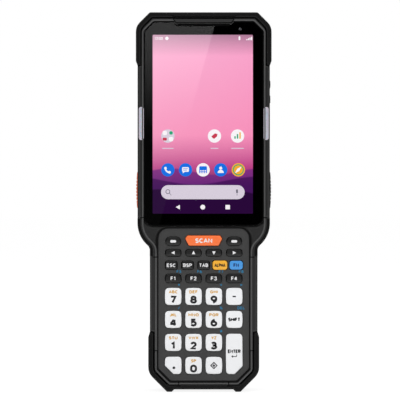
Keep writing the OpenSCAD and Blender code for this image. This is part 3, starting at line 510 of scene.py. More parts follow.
# The lit picture: colour stops from the bottom to the top of the display
PICTURE = [(0.00, srgb(20, 3, 26)), (0.15, srgb(48, 12, 70)), (0.26, srgb(190, 66, 136)),
           (0.44, srgb(250, 146, 188)), (0.88, srgb(252, 164, 204)), (1.00, srgb(172, 122, 150))]
# Its waves: level, swing, number across the display, start and colour
WAVES = [(0.235, 0.018, 1.1, 0.4, srgb(110, 40, 130)), (0.185, 0.022, 0.8, 2.6, srgb(56, 14, 80)),
         (0.12, 0.016, 1.4, 1.1, srgb(26, 5, 40))]


def display_light(name):
    """A black surface that only glows."""
    return material(name, Base_Color=BLACK, Specular_IOR_Level=0.0, Emission_Strength=GLASS_LOSS)


def lit_picture():
    """Backlit panel: a soft dawn gradient over rolling waves, with the fine raster of its dots, paler towards
    the upper left as a painted sheen.
    """
    made, tree, shader = display_light("lit_picture")
    x, _, z = parts_of(place(tree))
    raster = cells(tree, RASTER_PER_MM)
    across = x.ranged(LIT[0], LIT[1])
    up = z.ranged(LIT[2], LIT[3])
    ramp = add(tree, "ValToRGB", {0: up})
    stops = ramp.color_ramp.elements
    while len(stops) < len(PICTURE):
        stops.new(0.5)
    for stop, (where, colour) in zip(stops, PICTURE):
        stop.position = where
        stop.color = colour
    # Paler towards the upper left: a painted sheen, on top of the real reflection of the card in the glass
    picture = mixed((1.0 - across) * (up * 0.28), outputs(tree, ramp)["Color"], srgb(255, 214, 230))
    for level, swing, length, start, colour in WAVES:
        crest = calc("SINE", across * (2 * math.pi * length) + start) * swing + level
        below = (crest - up).ranged(-0.004, 0.004)
        picture = mixed(below * 0.75, picture, colour)
    join(shader, {"Emission Color": scaled(picture, raster.ranged(0.0, 1.0, 1.03, 0.93)),
        "Roughness": raster.ranged(0.0, 1.0, 0.35, 0.45)})
    return made


def lit_mark(name, colour):
    """Something lit on the display in one colour, a little brighter towards its top."""
    made, tree, shader = display_light(name)
    rise = parts_of(place(tree))[2].ranged(LIT[2], LIT[3], 0.94, 1.0)
    shine = rise * cells(tree, RASTER_PER_MM).ranged(0.0, 1.0, 1.02, 0.95)
    join(shader, {"Emission Color": scaled(colour[:3], shine)})
    return made


def milky_guide():
    """Milky light guide with fine lens ribs across it."""
    made, tree, shader = material("milky_guide", Subsurface_Weight=0.4, Subsurface_Scale=1.5 * MM,
        Coat_Weight=0.3, Coat_Roughness=0.15, IOR=1.5)
    rib_pitch = 0.8
    ribs = calc("SINE", parts_of(place(tree))[2] * (2 * math.pi / rib_pitch))
    haze = cloud(tree, 0.6)
    worn = use(tree, WORN, {"Radius mm": 0.25, "Amount": 0.0})
    join(shader, {"Base Color": mixed(haze, srgb(176, 176, 190), srgb(206, 207, 218)),
        "Roughness": haze.ranged(0.3, 0.7, 0.25, 0.4), "Normal": relief(ribs, 0.03, worn["Normal"])})
    return made


def coated_lens():
    """Dark lens with a violet tinge, less polished where it turns away."""
    made, tree, shader = material("coated_lens", Coat_Weight=1.0, Coat_Roughness=0.02, IOR=1.6)
    tilt = signal(tree, "LayerWeight", {"Blend": 0.4}, "Facing")
    tinge = mixed(cloud(tree, 0.5, 1.0), (0.004, 0.004, 0.008, 1), (0.012, 0.010, 0.022, 1))
    join(shader, {"Base Color": tinge, "Roughness": tilt.ranged(0.0, 1.0, 0.08, 0.25)})
    return made


def solder_mask():
    """Circuit board: green lacquer over copper tracks and pads."""
    made, tree, shader = material("solder_mask", Coat_Weight=0.3, Coat_Roughness=0.2)
    tracks = outputs(tree, add(tree, "TexBrick", {"Vector": place(tree), "Color1": srgb(18, 92, 50),
        "Color2": srgb(24, 108, 58), "Mortar": srgb(40, 132, 74), "Scale": 0.45, "Mortar Size": 0.03}))
    haze = cloud(tree, 0.3, 3.0)
    join(shader, {"Base Color": mixed(haze * 0.3, tracks["Color"], srgb(12, 60, 34)),
        "Roughness": haze.ranged(0.3, 0.7, 0.3, 0.5), "Normal": relief(tracks["Fac"], 0.03)})
    return made


def woven_metal(name, colour, wires_per_mm):
    """Blackened wire cloth."""
    made, tree, shader = material(name, Metallic=0.8)
    x, _, z = parts_of(place(tree))
    turn = 2 * math.pi * wires_per_mm
    cloth = calc("SINE", x * turn) * calc("SINE", z * turn)
    join(shader, {"Base Color": mixed(cloth.ranged(-1, 1), toned(colour, 0.3), colour),
        "Roughness": cloth.ranged(-1, 1, 0.6, 0.35), "Normal": relief(cloth, 0.05)})
    return made


def dock_block():
    """Gilded charging pads standing out of a black moulded block."""
    made, tree, shader = material("dock_block")
    low = box_mm("dock_contacts")[4]
    pad = parts_of(place(tree))[2].ranged(low + 0.15, low + 0.1)
    haze = cloud(tree, 2.0, 3.0)
    gold = mixed(haze, srgb(214, 172, 84), srgb(188, 146, 66))
    join(shader, {"Base Color": mixed(pad, grey(24), gold), "Metallic": pad,
        "Roughness": (pad + haze).ranged(0.4, 1.5, 0.6, 0.25)})
    return made


FINISHES = {
    # Of the CAD nodes, by material slot
    # The pale colours given below for the rounds of edges are painted highlights; the housing's flank colour
    # is painted shade on its sides that turn away
    "housing": moulded("housing_plastic", grey(31), grains=3.2, roughness=0.4, mottle=0.2, edge=0.45,
        edge_highlight=0.85, edge_highlight_colour=grey(84), flank_shade=grey(15), Specular_IOR_Level=0.35),
    "bumper": moulded("bumper_rubber", grey(12), grains=5.0, depth=0.03, roughness=0.6, mottle=0.3, edge=0.4,
        worn_colour=grey(50), edge_highlight=0.5, edge_highlight_colour=grey(56), Specular_IOR_Level=0.2),
    "glass": tinted("cover_glass_clear", cloud, (0.12,), (0.985, 0.99, 1, 1), (0.995, 1, 0.995, 1),
        (0.3, 0.7, 0.0, 0.006), Transmission_Weight=1.0, IOR=1.5, Metallic=0.0),
    "display": lit_picture(),
    "mesh": woven_metal("receiver_cloth", grey(60), 4.0),
    "lens": coated_lens(),
    "light_guide": milky_guide(),
    "keypad_plate": moulded("plate_plastic", grey(58), grains=4.0, depth=0.018, roughness=0.5, mottle=0.12,
        edge=0.45, edge_highlight=0.9, edge_highlight_colour=grey(98), Specular_IOR_Level=0.45),
    "silicone": moulded("grey_silicone", grey(62), grains=2.0, roughness=0.7, Specular_IOR_Level=0.3),
    "board": solder_mask(),
    "steel": metal("drawn_steel", srgb(176, 178, 182)),
    "scan_window": tinted("red_window", cloud, (0.15,), srgb(52, 6, 12), srgb(86, 12, 20),
        (0.3, 0.7, 0.06, 0.12), Coat_Weight=1.0, Coat_Roughness=0.03, IOR=1.5),
    "engine": moulded("engine_plastic", grey(40), roughness=0.6),
    "battery": moulded("battery_plastic", grey(34), grains=2.6, depth=0.035, roughness=0.6, mottle=0.22,
        edge=0.6, wear=0.35, edge_highlight=0.6, edge_highlight_colour=grey(70), Specular_IOR_Level=0.4),
    "gold": metal("gilding", srgb(214, 170, 78), roughness=0.25),
    "connector": moulded("connector_plastic", grey(26), roughness=0.5),
    "dock": dock_block(),
    "orange": moulded("orange_plastic", srgb(222, 92, 30), depth=0.015, roughness=0.42, mottle=0.08, edge=0.3,
        wear=0.15),
    "side_key": moulded("side_key_plastic", grey(34), grains=4.0, depth=0.012, roughness=0.45, edge=0.3),
    "key_white": key_coating("white_coating", srgb(246, 247, 249)),
    "key_dark": key_coating("dark_coating", grey(13), roughness=0.4),
    "key_orange": key_coating("orange_coating", srgb(255, 120, 58)),
    "key_yellow": key_coating("yellow_coating", srgb(248, 180, 50)),
    "key_blue": key_coating("blue_coating", srgb(70, 154, 228)),
    # Of the trim
    "border": tinted("border_ink", cells, (4.0,), (0.0003, 0.0003, 0.0004, 1), (0.0006, 0.0006, 0.0007, 1),
        (0.0, 1.0, 0.5, 0.7), Specular_IOR_Level=0.0),
    # Near black: the dark joints, and painted shade in the gap round the cover glass
    "joints_and_gap_shade": moulded("black_joints_and_gap_shade", grey(6), grains=4.0, depth=0.01, roughness=0.75, mottle=0.1, wear=0.0,
        Specular_IOR_Level=0.05),
    # Dark strip in the keypad plate's groove: painted shade
    "plate_groove_shade": moulded("plate_groove_painted_shade", grey(20), grains=4.0, depth=0.01, roughness=0.7, mottle=0.1,
        wear=0.0, Specular_IOR_Level=0.1),
    # Near-black strips on the shoulders' rounded edges: painted shade
    "shoulder_shade": moulded("shoulder_painted_shade", grey(9), grains=5.0, roughness=0.6, mottle=0.25, wear=0.15,
        Specular_IOR_Level=0.15),
    # The ridge bead is a real raised bead; its pale grey is a painted highlight along the front edge line
    "bead": moulded("ridge_painted_highlight", grey(74), depth=0.006, roughness=0.35, mottle=0.2, wear=0.3,
        Specular_IOR_Level=0.5),
    # The plate's edge bead is paler than the plate: a painted highlight
    "plate_edge_highlight": moulded("plate_edge_painted_highlight", grey(72), grains=4.0, depth=0.008, roughness=0.5, mottle=0.15,
        wear=0.2, Specular_IOR_Level=0.25),
    "ear_bar": moulded("ear_bar_plastic", grey(50), depth=0.008, roughness=0.5, mottle=0.2, wear=0.2,
        edge_highlight=0.4, edge_highlight_colour=grey(64), Specular_IOR_Level=0.25),
    "ring": metal("ring_metal", srgb(150, 152, 158), edge=0.05),
    "guide_edge": moulded("guide_edge", srgb(196, 190, 202), depth=0.006, roughness=0.35, mottle=0.08,
        wear=0.0),
}
LIGHTS = {"white": (255, 250, 253), "pale": (222, 212, 226), "blue": (26, 115, 232), "red": (205, 60, 84),
          "green": (40, 168, 120), "amber": (250, 178, 50), "grey": (120, 116, 130)}
INKS = {"dark": (8, 9, 16), "white": (246, 246, 248), "amber": (230, 176, 84), "navy": (10, 44, 104),
        "brown": (28, 16, 2), "blue": (24, 124, 168)}
for prefix, make_finish, colours in (("lit_", lit_mark, LIGHTS), ("ink_", key_ink, INKS)):
    for tone, colour in colours.items():
        FINISHES[prefix + tone] = make_finish(prefix + tone, srgb(*colour))

for name, thing in CAD.items():
    thing.data.materials.clear()
    thing.data.materials.append(FINISHES[SLOT_OF[name]])


# ---------- Making pieces ----------

def riding(name, mesh, body):
    thing = bpy.data.objects.new(name, mesh)
    bpy.context.scene.collection.objects.link(thing)
    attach(thing, body)
    return thing


def finished(name, bm, finish, body="housing", smooth=40):
    """Turns a bmesh in metres into a piece that rides on a body."""
    bmesh.ops.recalc_face_normals(bm, faces=bm.faces)
    mesh = bpy.data.meshes.new(name)
    bm.to_mesh(mesh)
    bm.free()
    mesh.materials.append(FINISHES[finish])
    mesh.shade_smooth()
    mesh.set_sharp_from_angle(angle=math.radians(smooth))
    return riding(name, mesh, body)


def ring_of(bm, points, depth):
    return [bm.verts.new((x * MM, at(depth), z * MM)) for x, z in points]


def bridge(bm, a, b):
    for i in range(len(a)):
        j = (i + 1) % len(a)
        bm.faces.new((a[i], a[j], b[j], b[i]))


def loft(bm, rings, closed=False):
    """Skins a row of rings, and caps its ends unless it closes on itself."""
    for a, b in zip(rings, rings[1:] + (rings[:1] if closed else [])):
        bridge(bm, a, b)
    if not closed:
        bm.faces.new(rings[0])
        bm.faces.new(rings[-1])


def plates(name, outlines, front, back, finish, body="housing"):
    """A piece of flat plates between two depths; a pair of outlines makes a frame."""
    bm = bmesh.new()
    for outline in outlines:
        if isinstance(outline, tuple):
            outer, inner = outline
            loft(bm, [ring_of(bm, points, depth) for points, depth in
                      [(outer, front), (inner, front), (inner, back), (outer, back)]], closed=True)
        else:
            loft(bm, [ring_of(bm, outline, front), ring_of(bm, outline, back)])
    return finished(name, bm, finish, body)


def arc(x, z, rx, rz, a0, a1, n=8):
    """Points of an elliptical arc, angles in degrees."""
    turns = [math.radians(a0 + (a1 - a0) * i / n) for i in range(n + 1)]
    return [(x + rx * math.cos(t), z + rz * math.sin(t)) for t in turns]


def loop(x, z, rx, rz):
    return arc(x, z, rx, rz, 0, 360, 16)


def disc(x, z, r, n=40):
    return arc(x, z, r, r, 0, 360, n)[:-1]


def rounded(corners, steps=8):
    """Outline through corners (x, z, radius), each turned into an arc."""
    points = []
    for i, (x, z, r) in enumerate(corners):
        here = Vector((x, z))
        a = (Vector(corners[i - 1][:2]) - here).normalized()
        b = (Vector(corners[(i + 1) % len(corners)][:2]) - here).normalized()
        if r == 0:
            points.append((x, z))
            continue
        half = a.angle(b) / 2
        centre = here + (a + b).normalized() * r / math.sin(half)
        u = (here + a * r / math.tan(half) - centre) / r
        w = (here + b * r / math.tan(half) - centre) / r
        sweep = u.angle(w)
        for k in range(steps + 1):
            t = k / steps
            p = centre + r * (u * math.sin(sweep * (1 - t)) + w * math.sin(sweep * t)) / math.sin(sweep)
            points.append((p.x, p.y))
    return points


def box_corners(x0, x1, z0, z1, r):
    return [(x1, z1, r), (x1, z0, r), (x0, z0, r), (x0, z1, r)]


def mirrored(half, middle=0.0):
    """The right half of an outline and its mirror image, as one outline."""
    return half + [(2 * middle - x, z, r) for x, z, r in reversed(half)]


def shrunk(corners, t):
    """Moves every side of a clockwise outline inwards by t, and its radii with it."""
    out = []
    for i, (x, z, r) in enumerate(corners):
        p = Vector((x, z))
        e1 = (p - Vector(corners[i - 1][:2])).normalized()
        e2 = (Vector(corners[(i + 1) % len(corners)][:2]) - p).normalized()
        n1, n2 = Vector((e1.y, -e1.x)), Vector((e2.y, -e2.x))
        q = p + t * (n1 + n2) / (1 + n1.dot(n2))
        hollow = e1.x * e2.y - e1.y * e2.x > 0
        out.append((q.x, q.y, max(0.05, r + (t if hollow else -t)) if r > 0 else 0))
    return out


def bar(x, z, w, h, r=0.0):
    corners = box_corners(x - w / 2, x + w / 2, z - h / 2, z + h / 2, r)
    return rounded(corners, 5) if r else [c[:2] for c in corners]


# Plain sans capitals and figures: width over height, then the pen's strokes in a unit box
STROKES = {
    "0": (0.60, [arc(0.5, 0.66, 0.5, 0.34, 0, 180) + arc(0.5, 0.34, 0.5, 0.34, 180, 360) + [(1, 0.66)]]),
    "1": (0.36, [[(0, 0.76), (0.72, 1), (0.72, 0)]]),
    "2": (0.58, [arc(0.5, 0.70, 0.46, 0.30, 170, -35) + [(0.02, 0), (1, 0)]]),
    "3": (0.57, [arc(0.46, 0.75, 0.44, 0.25, 155, -90) + arc(0.46, 0.26, 0.54, 0.26, 90, -155)]),
    "4": (0.66, [[(0.74, 0), (0.74, 1)], [(0.64, 1), (0.04, 0.33)], [(-0.06, 0.27), (1.02, 0.27)]]),
    "5": (0.57, [[(0.92, 1), (0.16, 1), (0.08, 0.52)] + arc(0.46, 0.32, 0.54, 0.32, 130, -150)]),
    "6": (0.59, [loop(0.5, 0.32, 0.5, 0.32), arc(0.82, 0.36, 0.82, 0.64, 100, 185)]),
    "7": (0.56, [[(0, 1), (1, 1), (0.36, 0)]]),
    "8": (0.59, [loop(0.5, 0.76, 0.41, 0.24), loop(0.5, 0.26, 0.5, 0.26)]),
    "9": (0.59, [loop(0.5, 0.68, 0.5, 0.32), arc(0.18, 0.64, 0.82, 0.64, 5, -80)]),
    "A": (0.76, [[(0, 0), (0.5, 1), (1, 0)], [(0.2, 0.32), (0.8, 0.32)]]),
    "B": (0.66, [[(0, 0), (0, 1), (0.5, 1)] + arc(0.5, 0.76, 0.42, 0.24, 90, -90) + [(0, 0.52)],
                 [(0.5, 0.52)] + arc(0.52, 0.26, 0.48, 0.26, 90, -90) + [(0, 0)]]),
    "C": (0.68, [arc(0.56, 0.5, 0.56, 0.5, 48, 312, 14)]),
    "D": (0.68, [[(0, 0), (0, 1), (0.4, 1)] + arc(0.4, 0.5, 0.6, 0.5, 90, -90, 12) + [(0, 0)]]),
    "E": (0.56, [[(1, 1), (0, 1), (0, 0), (1, 0)], [(0, 0.52), (0.86, 0.52)]]),
    "F": (0.54, [[(1, 1), (0, 1), (0, 0)], [(0, 0.5), (0.86, 0.5)]]),
    "G": (0.72, [arc(0.54, 0.5, 0.54, 0.5, 48, 318, 14) + [(1, 0.46), (0.56, 0.46)]]),
    "H": (0.68, [[(0, 0), (0, 1)], [(1, 0), (1, 1)], [(0, 0.5), (1, 0.5)]]),
    "I": (0.02, [[(0.5, 0), (0.5, 1)]]),
    "J": (0.46, [[(1, 1), (1, 0.32)] + arc(0.5, 0.3, 0.5, 0.3, 0, -165)]),
    "K": (0.66, [[(0, 0), (0, 1)], [(1, 1), (0.04, 0.4)], [(0.36, 0.6), (1, 0)]]),
    "L": (0.52, [[(0, 1), (0, 0), (1, 0)]]),
    "M": (0.84, [[(0, 0), (0, 1), (0.5, 0.3), (1, 1), (1, 0)]]),
    "N": (0.70, [[(0, 0), (0, 1), (1, 0), (1, 1)]]),
    "O": (0.76, [loop(0.5, 0.5, 0.5, 0.5)]),
    "P": (0.62, [[(0, 0), (0, 1), (0.5, 1)] + arc(0.5, 0.73, 0.5, 0.27, 90, -90) + [(0, 0.46)]]),
    "Q": (0.76, [loop(0.5, 0.5, 0.5, 0.5), [(0.58, 0.32), (1, -0.08)]]),
    "R": (0.66, [[(0, 0), (0, 1), (0.5, 1)] + arc(0.5, 0.73, 0.48, 0.27, 90, -90) + [(0, 0.46)],
                 [(0.46, 0.46), (1, 0)]]),
    "S": (0.60, [arc(0.5, 0.745, 0.46, 0.255, 28, 262, 10) + arc(0.5, 0.255, 0.5, 0.255, 82, -152, 10)]),
    "T": (0.62, [[(0, 1), (1, 1)], [(0.5, 1), (0.5, 0)]]),
    "U": (0.68, [[(0, 1), (0, 0.36)] + arc(0.5, 0.36, 0.5, 0.36, 180, 360, 10) + [(1, 1)]]),
    "V": (0.72, [[(0, 1), (0.5, 0), (1, 1)]]),
    "W": (1.00, [[(0, 1), (0.25, 0), (0.5, 0.9), (0.75, 0), (1, 1)]]),
    "X": (0.70, [[(0, 0), (1, 1)], [(0, 1), (1, 0)]]),
    "Y": (0.70, [[(0, 1), (0.5, 0.46), (1, 1)], [(0.5, 0.46), (0.5, 0)]]),
    "Z": (0.60, [[(0, 1), (1, 1), (0, 0), (1, 0)]]),
    ":": (0.02, [[(0.5, 0.16), (0.5, 0.32)], [(0.5, 0.68), (0.5, 0.84)]]),
    "/": (0.45, [[(0, 0), (1, 1)]]),
    "+": (0.80, [[(0, 0.5), (1, 0.5)], [(0.5, 0.1), (0.5, 0.9)]]),
    "=": (0.70, [[(0, 0.68), (1, 0.68)], [(0, 0.28), (1, 0.28)]]),
    "%": (0.80, [[(0.12, 0), (0.88, 1)], loop(0.16, 0.84, 0.16, 0.16), loop(0.84, 0.16, 0.16, 0.16)]),
    "#": (0.75, [[(0.3, 0), (0.4, 1)], [(0.62, 0), (0.72, 1)], [(0, 0.3), (1, 0.3)], [(0, 0.68), (1, 0.68)]]),
    "*": (0.70, [[(0.5, 0.15), (0.5, 0.95)], [(0.05, 0.35), (0.95, 0.75)], [(0.05, 0.75), (0.95, 0.35)]]),
}
LETTER_GAP = 0.2
LETTER_T = 0.035
STROKE_STEP = 0.002
MITRE_LIMIT = 1.5


def pen_stroke(bm, points, pen, front):
    """Flat bar of the pen's width along a line, mitred at its corners; it closes if the ends meet."""
    closed = (Vector(points[0]) - Vector(points[-1])).length < 1e-6
    points = [Vector(p) for p in (points[:-1] if closed else points)]
    points = [p for i, p in enumerate(points) if i == 0 or (p - points[i - 1]).length > 1e-6]
    count = len(points)
    rings = []
    for i, p in enumerate(points):
        before = (p - points[i - 1]).normalized() if closed or i > 0 else None
        after = (points[(i + 1) % count] - p).normalized() if closed or i < count - 1 else before
        before = before or after
        left, right = Vector((-before.y, before.x)), Vector((-after.y, after.x))
        mitre = (left + right) / max(1 + left.dot(right), 0.05)
        if mitre.length > MITRE_LIMIT:
            mitre = mitre.normalized() * MITRE_LIMIT
        a, b = p + mitre * pen / 2, p - mitre * pen / 2
        rings.append([bm.verts.new((q.x * MM, at(depth), q.y * MM)) for q, depth in
                      ((a, front), (b, front), (b, front + LETTER_T), (a, front + LETTER_T))])
    loft(bm, rings, closed)


def letters(bm, text, width, height, x, z, front, pen):
    """Adds lettering of a height in millimetres about a centre; width 0 keeps its natural width."""
    gap = LETTER_GAP * height + pen * 0.6
    shares = [STROKES[c][0] * height for c in text]
    natural = sum(shares) + gap * (len(text) - 1)
    stretch = (width - pen) / natural if width else 1
    left = x - natural * stretch / 2
    for c, share in zip(text, shares):
        for i, line in enumerate(STROKES[c][1]):
            put = [(left + u * share * stretch, z + (v - 0.5) * (height - pen)) for u, v in line]
            pen_stroke(bm, put, pen, front + i * STROKE_STEP)
        left += (share + gap) * stretch


def lettering(name, words, ink, body="housing"):
    """One piece of printed words: each is (text, width, height, x, z, front depth, pen width)."""
    bm = bmesh.new()
    for word in words:
        letters(bm, *word)
    return finished(name, bm, ink, body)


# ---------- Display ----------

def screen(u, v):
    """A place on the lit area, from 0 to 1 each way, in millimetres."""
    return LIT[0] + u * (LIT[1] - LIT[0]), LIT[2] + v * (LIT[3] - LIT[2])


GLASS_CHAMFER_R = 1.5
RECESS_DEEP = 2.1


def glass_outline(gap, chamfer, recess, low_r, recess_r):
    """The cover glass's outline drawn in by a gap: chamfered top corners and the receiver's recess on top."""
    x, low, high = GLASS[1] - gap, GLASS[4] + gap, GLASS[5] - gap
    return mirrored([(x - recess - RECESS_DEEP, high - RECESS_DEEP, recess_r), (x - recess, high, recess_r),
        (x - chamfer, high, GLASS_CHAMFER_R), (x, high - chamfer, GLASS_CHAMFER_R), (x, low, low_r)])


PRINT_T = 0.04
PRINT_GAP = 0.01
CAMERA_EYE_R = 0.8
CAMERA_EYE = (20.5, GLASS[5] - 4)


def make_border():
    """Black print on the back of the glass with the window of the display and the eye of the camera."""
    outer = rounded(glass_outline(0.15, 4.95, 17.35, 4.9, 0.05), 5)
    window = rounded(box_corners(*LIT, 0.4), 3)
    hole = disc(*CAMERA_EYE, CAMERA_EYE_R, 24)
    bm = bmesh.new()
    sides = []
    for depth in (GLASS_BACK - PRINT_GAP - PRINT_T, GLASS_BACK - PRINT_GAP):
        rings = [ring_of(bm, points, depth) for points in (outer, window, hole)]
        edges = [bm.edges.new((a, b)) for ring in rings for a, b in zip(ring, ring[1:] + ring[:1])]
        bmesh.ops.triangle_fill(bm, edges=edges, use_beauty=True)
        sides.append(rings)
    for a, b in zip(*sides):
        bridge(bm, a, b)
    finished("border_print", bm, "border")


# Layers of the picture, from the panel towards the glass, all in the gap between them
LAYER = 0.03
LAYER_T = 0.024
LAYER_GAP = 0.005


def lit_plates(name, light, outlines, layer=1):
    """Flat lit shapes on the display; layer 1 lies on the panel and 2 on layer 1."""
    back = SCREEN_FRONT - (layer - 1) * LAYER - LAYER_GAP
    plates(name, outlines, back - LAYER_T, back, "lit_" + light)


ICON_R = 3.75
ICONS_V = 0.434
DOCK_V = 0.245
SEARCH_V = 0.12
NAV_V = 0.0365
STATUS_V = 0.98
FIRST_U = 0.152
TAG_U = 0.617
CHART_U = 0.847
DOCK_STEP_U = 0.1757
TAG = [(0.2, 1.5), (1.7, 1.2), (1.4, -0.2), (-0.3, -1.7), (-1.8, -0.3)]
SEARCH_HANDLE = [(0.75, -0.95), (0.95, -0.75), (2.05, -1.85), (1.85, -2.05)]


def make_icons():
    shop_x, shop_z = screen(FIRST_U, ICONS_V)
    tag_x, tag_z = screen(TAG_U, ICONS_V)
    chart_x, chart_z = screen(CHART_U, ICONS_V)
    chips = [(shop_x + i * 1.75, shop_z + k * 1.75) for i in (-1, 1) for k in (-1, 1)]
    lit_plates("icon_folder", "pale", [disc(shop_x, shop_z, ICON_R)])
    lit_plates("icon_folder_chips", "white", [bar(x, z, 2.5, 2.5, 0.9) for x, z in chips[1:3]], 2)
    lit_plates("icon_folder_red", "red", [bar(*chips[0], 2.3, 1.6, 0.5)], 2)
    lit_plates("icon_folder_green", "green", [disc(*chips[3], 1.0, 20)], 2)
    lit_plates("icon_discs", "white", [disc(tag_x, tag_z, ICON_R), disc(chart_x, chart_z, ICON_R)])
    lit_plates("icon_tag", "red", [[(tag_x + x, tag_z + z) for x, z in TAG]], 2)
    bars = [bar(chart_x - 1.4, chart_z - 0.8, 0.8, 1.4), bar(chart_x, chart_z - 0.2, 0.8, 2.6)]
    lit_plates("icon_chart_bars", "green", bars, 2)
    lit_plates("icon_chart_peak", "amber", [bar(chart_x + 1.4, chart_z + 0.3, 0.8, 3.6)], 2)
    captions = [bar(x, z - 6.9, w, 0.5, 0.2) for x, z, w in
                [(shop_x, shop_z, 6.4), (tag_x, tag_z, 4.4), (chart_x, chart_z, 7.2)]]
    lit_plates("icon_captions", "pale", captions)


def make_dock_row():
    call, note, plan, user, find = [screen(FIRST_U + DOCK_STEP_U * i, DOCK_V) for i in range(5)]
    lit_plates("dock_discs_blue", "blue", [disc(*p, ICON_R) for p in (call, note, user)])
    lit_plates("dock_disc_white", "white", [disc(*plan, ICON_R)])
    lit_plates("dock_disc_amber", "amber", [disc(*find, ICON_R)])
    x, z = call
    grip = arc(x + 1.1, z + 1.1, 3.0, 3.0, 188, 262, 16) + arc(x + 1.1, z + 1.1, 2.1, 2.1, 262, 188, 16)
    ends = [disc(x - 1.35, z + 0.95, 0.75, 16), disc(x + 0.95, z - 1.35, 0.75, 16)]
    x, z = note
    box = bar(x, z + 0.2, 3.8, 2.6, 0.5)
    tail = [(x - 1.5, z - 1.0), (x - 0.3, z - 1.0), (x - 1.5, z - 2.0)]
    lines = [bar(x, z + 0.6, 2.6, 0.35), bar(x - 0.3, z - 0.2, 2.0, 0.35)]
    x, z = user
    head, chest = disc(x, z + 0.95, 0.85, 20), arc(x, z - 1.75, 1.75, 1.75, 0, 180, 20)
    lit_plates("dock_glyphs", "white", [grip, *ends, box, tail, head, chest], 2)
    lit_plates("note_lines", "blue", lines, 3)
    x, z = plan
    lit_plates("planner_sheet", "blue", [bar(x, z, 4.3, 4.0, 0.5)], 2)
    days = [bar(x + i * 1.25, z - 0.55 + k * 1.1, 0.8, 0.7) for i in (-1, 0, 1) for k in (-1, 0)]
    lit_plates("planner_days", "white", days, 3)
    x, z = find
    lit_plates("compass_ring", "green", [(disc(x, z, 3.1, 32), disc(x, z, 2.5, 32))], 2)
    needle = [(x + 1.9, z + 1.9), (x + 0.6, z - 0.6), (x - 1.9, z - 1.9), (x - 0.6, z + 0.6)]
    lit_plates("compass_needle", "white", [needle], 2)


def make_search_field():
    (x0, z), (x1, _) = screen(0.084, SEARCH_V), screen(0.918, SEARCH_V)
    high = 7.9
    lit_plates("search_field", "pale", [bar((x0 + x1) / 2, z, x1 - x0, high, high / 2 - 0.05)])
    x, lens_z = x0 + 3.8, z + 0.3
    lens = (disc(x, lens_z, 1.3, 24), disc(x, lens_z, 0.9, 24))
    handle = [(x + u, lens_z + v) for u, v in SEARCH_HANDLE]
    lit_plates("search_glass", "grey", [lens, handle], 2)
    x = x1 - 4.3
    lit_plates("search_mic", "grey", [bar(x, z + 0.5, 1.1, 2.2, 0.5), bar(x, z - 1.4, 0.35, 0.9)], 2)


def make_status_and_nav():
    (back_x, z), (home_x, _), (recent_x, _) = [screen(u, NAV_V) for u in (0.252, 0.5, 0.749)]
    back = [(back_x + 1.1, z + 1.3), (back_x + 1.1, z - 1.3), (back_x - 1.2, z)]
    lit_plates("nav_marks", "white", [back, disc(home_x, z, 1.35, 28), bar(recent_x, z, 2.5, 2.5, 0.3)])
    places = [screen(u, STATUS_V) for u in (0.02, 0.142, 0.866, 0.94)]
    (clock_x, z), (dot_x, _), (cell_x, _), (bars_x, _) = places
    cell = [bar(cell_x, z, 1.0, 1.9, 0.2), bar(cell_x, z + 1.1, 0.5, 0.3)]
    steps = [bar(bars_x + i * 0.9, z - 0.7 + i * 0.22, 0.6, 0.6 + i * 0.44) for i in range(4)]
    lit_plates("status_marks", "white", [disc(dot_x, z, 0.95, 24), *cell, *steps])
    lettering("status_clock", [("12:00", 4.6, 1.6, clock_x + 2.3, z, SCREEN_FRONT - 0.05, 0.28)],
        "lit_white")


make_border()
make_icons()
make_dock_row()
make_search_field()
make_status_and_nav()


# ---------- Keys ----------

FLANGE_REACH = 0.55
FLANGE_T = 0.8
PLUNGER_R = 1.5
BOW_R = 14


def barrel(x0, x1, z0, z1, r):
    """Number key with gently bowed sides."""
    x, z, w, h = (x0 + x1) / 2, (z0 + z1) / 2, (x1 - x0) / 2, (z1 - z0) / 2
    u, v = w - 0.25, h - 0.2
    return [(x + u, z + v, r), (x + w, z, BOW_R), (x + u, z - v, r), (x, z - h, BOW_R),
            (x - u, z - v, r), (x - w, z, BOW_R), (x - u, z + v, r), (x, z + h, BOW_R)]


def cut_key(x0, x1, z0, z1, r, cut, side):
    """Number key with one lower corner cut off at 45 degrees: side 1 on the right, -1 on the left."""
    x, z, w, h = (x0 + x1) / 2, (z0 + z1) / 2, (x1 - x0) / 2, (z1 - z0) / 2
    u, cut_r = w - 0.15, 1.2
    corners = [(u, h, r), (w, cut - h, cut_r), (w - cut, -h, cut_r), (-u, -h, r), (-w, 0, BOW_R), (-u, h, r)]
    if side < 0:
        corners = [(-a, b, c) for a, b, c in reversed(corners)]
    return [(x + a, z + b, c) for a, b, c in corners]


def scan_key(x0, x1, z0, z1):
    """Wide key that narrows downwards. What its blunt side tips lose to their rounding is added."""
    h = z1 - z0

    def corners(tip):
        half = [(tip - 0.22 * h, z1, 0.8), (tip, z1 - 0.3 * h, 1.2), (tip - 0.37 * h, z0, 1.0)]
        return mirrored(half, (x0 + x1) / 2)

    lost = x1 - max(point[0] for point in rounded(corners(x1)))
    return corners(x1 + lost)


KEY_RADIUS = {"soft_left": 2.3, "soft_right": 2.3, "left": 1.3, "up": 1.3, "down": 1.3, "right": 1.3,
              "f1": 1.6, "f2": 1.6, "f3": 1.6, "f4": 1.6, "yellow": 1.5, "blue": 1.5}


def key_middle(name):
    x0, x1, _, _, z0, z1 = box_mm("key_" + name)
    return (x0 + x1) / 2, (z0 + z1) / 2


def key_print(name):
    """Depth of the print on a key's face."""
    return box_mm("key_" + name)[2] - LETTER_T / 2


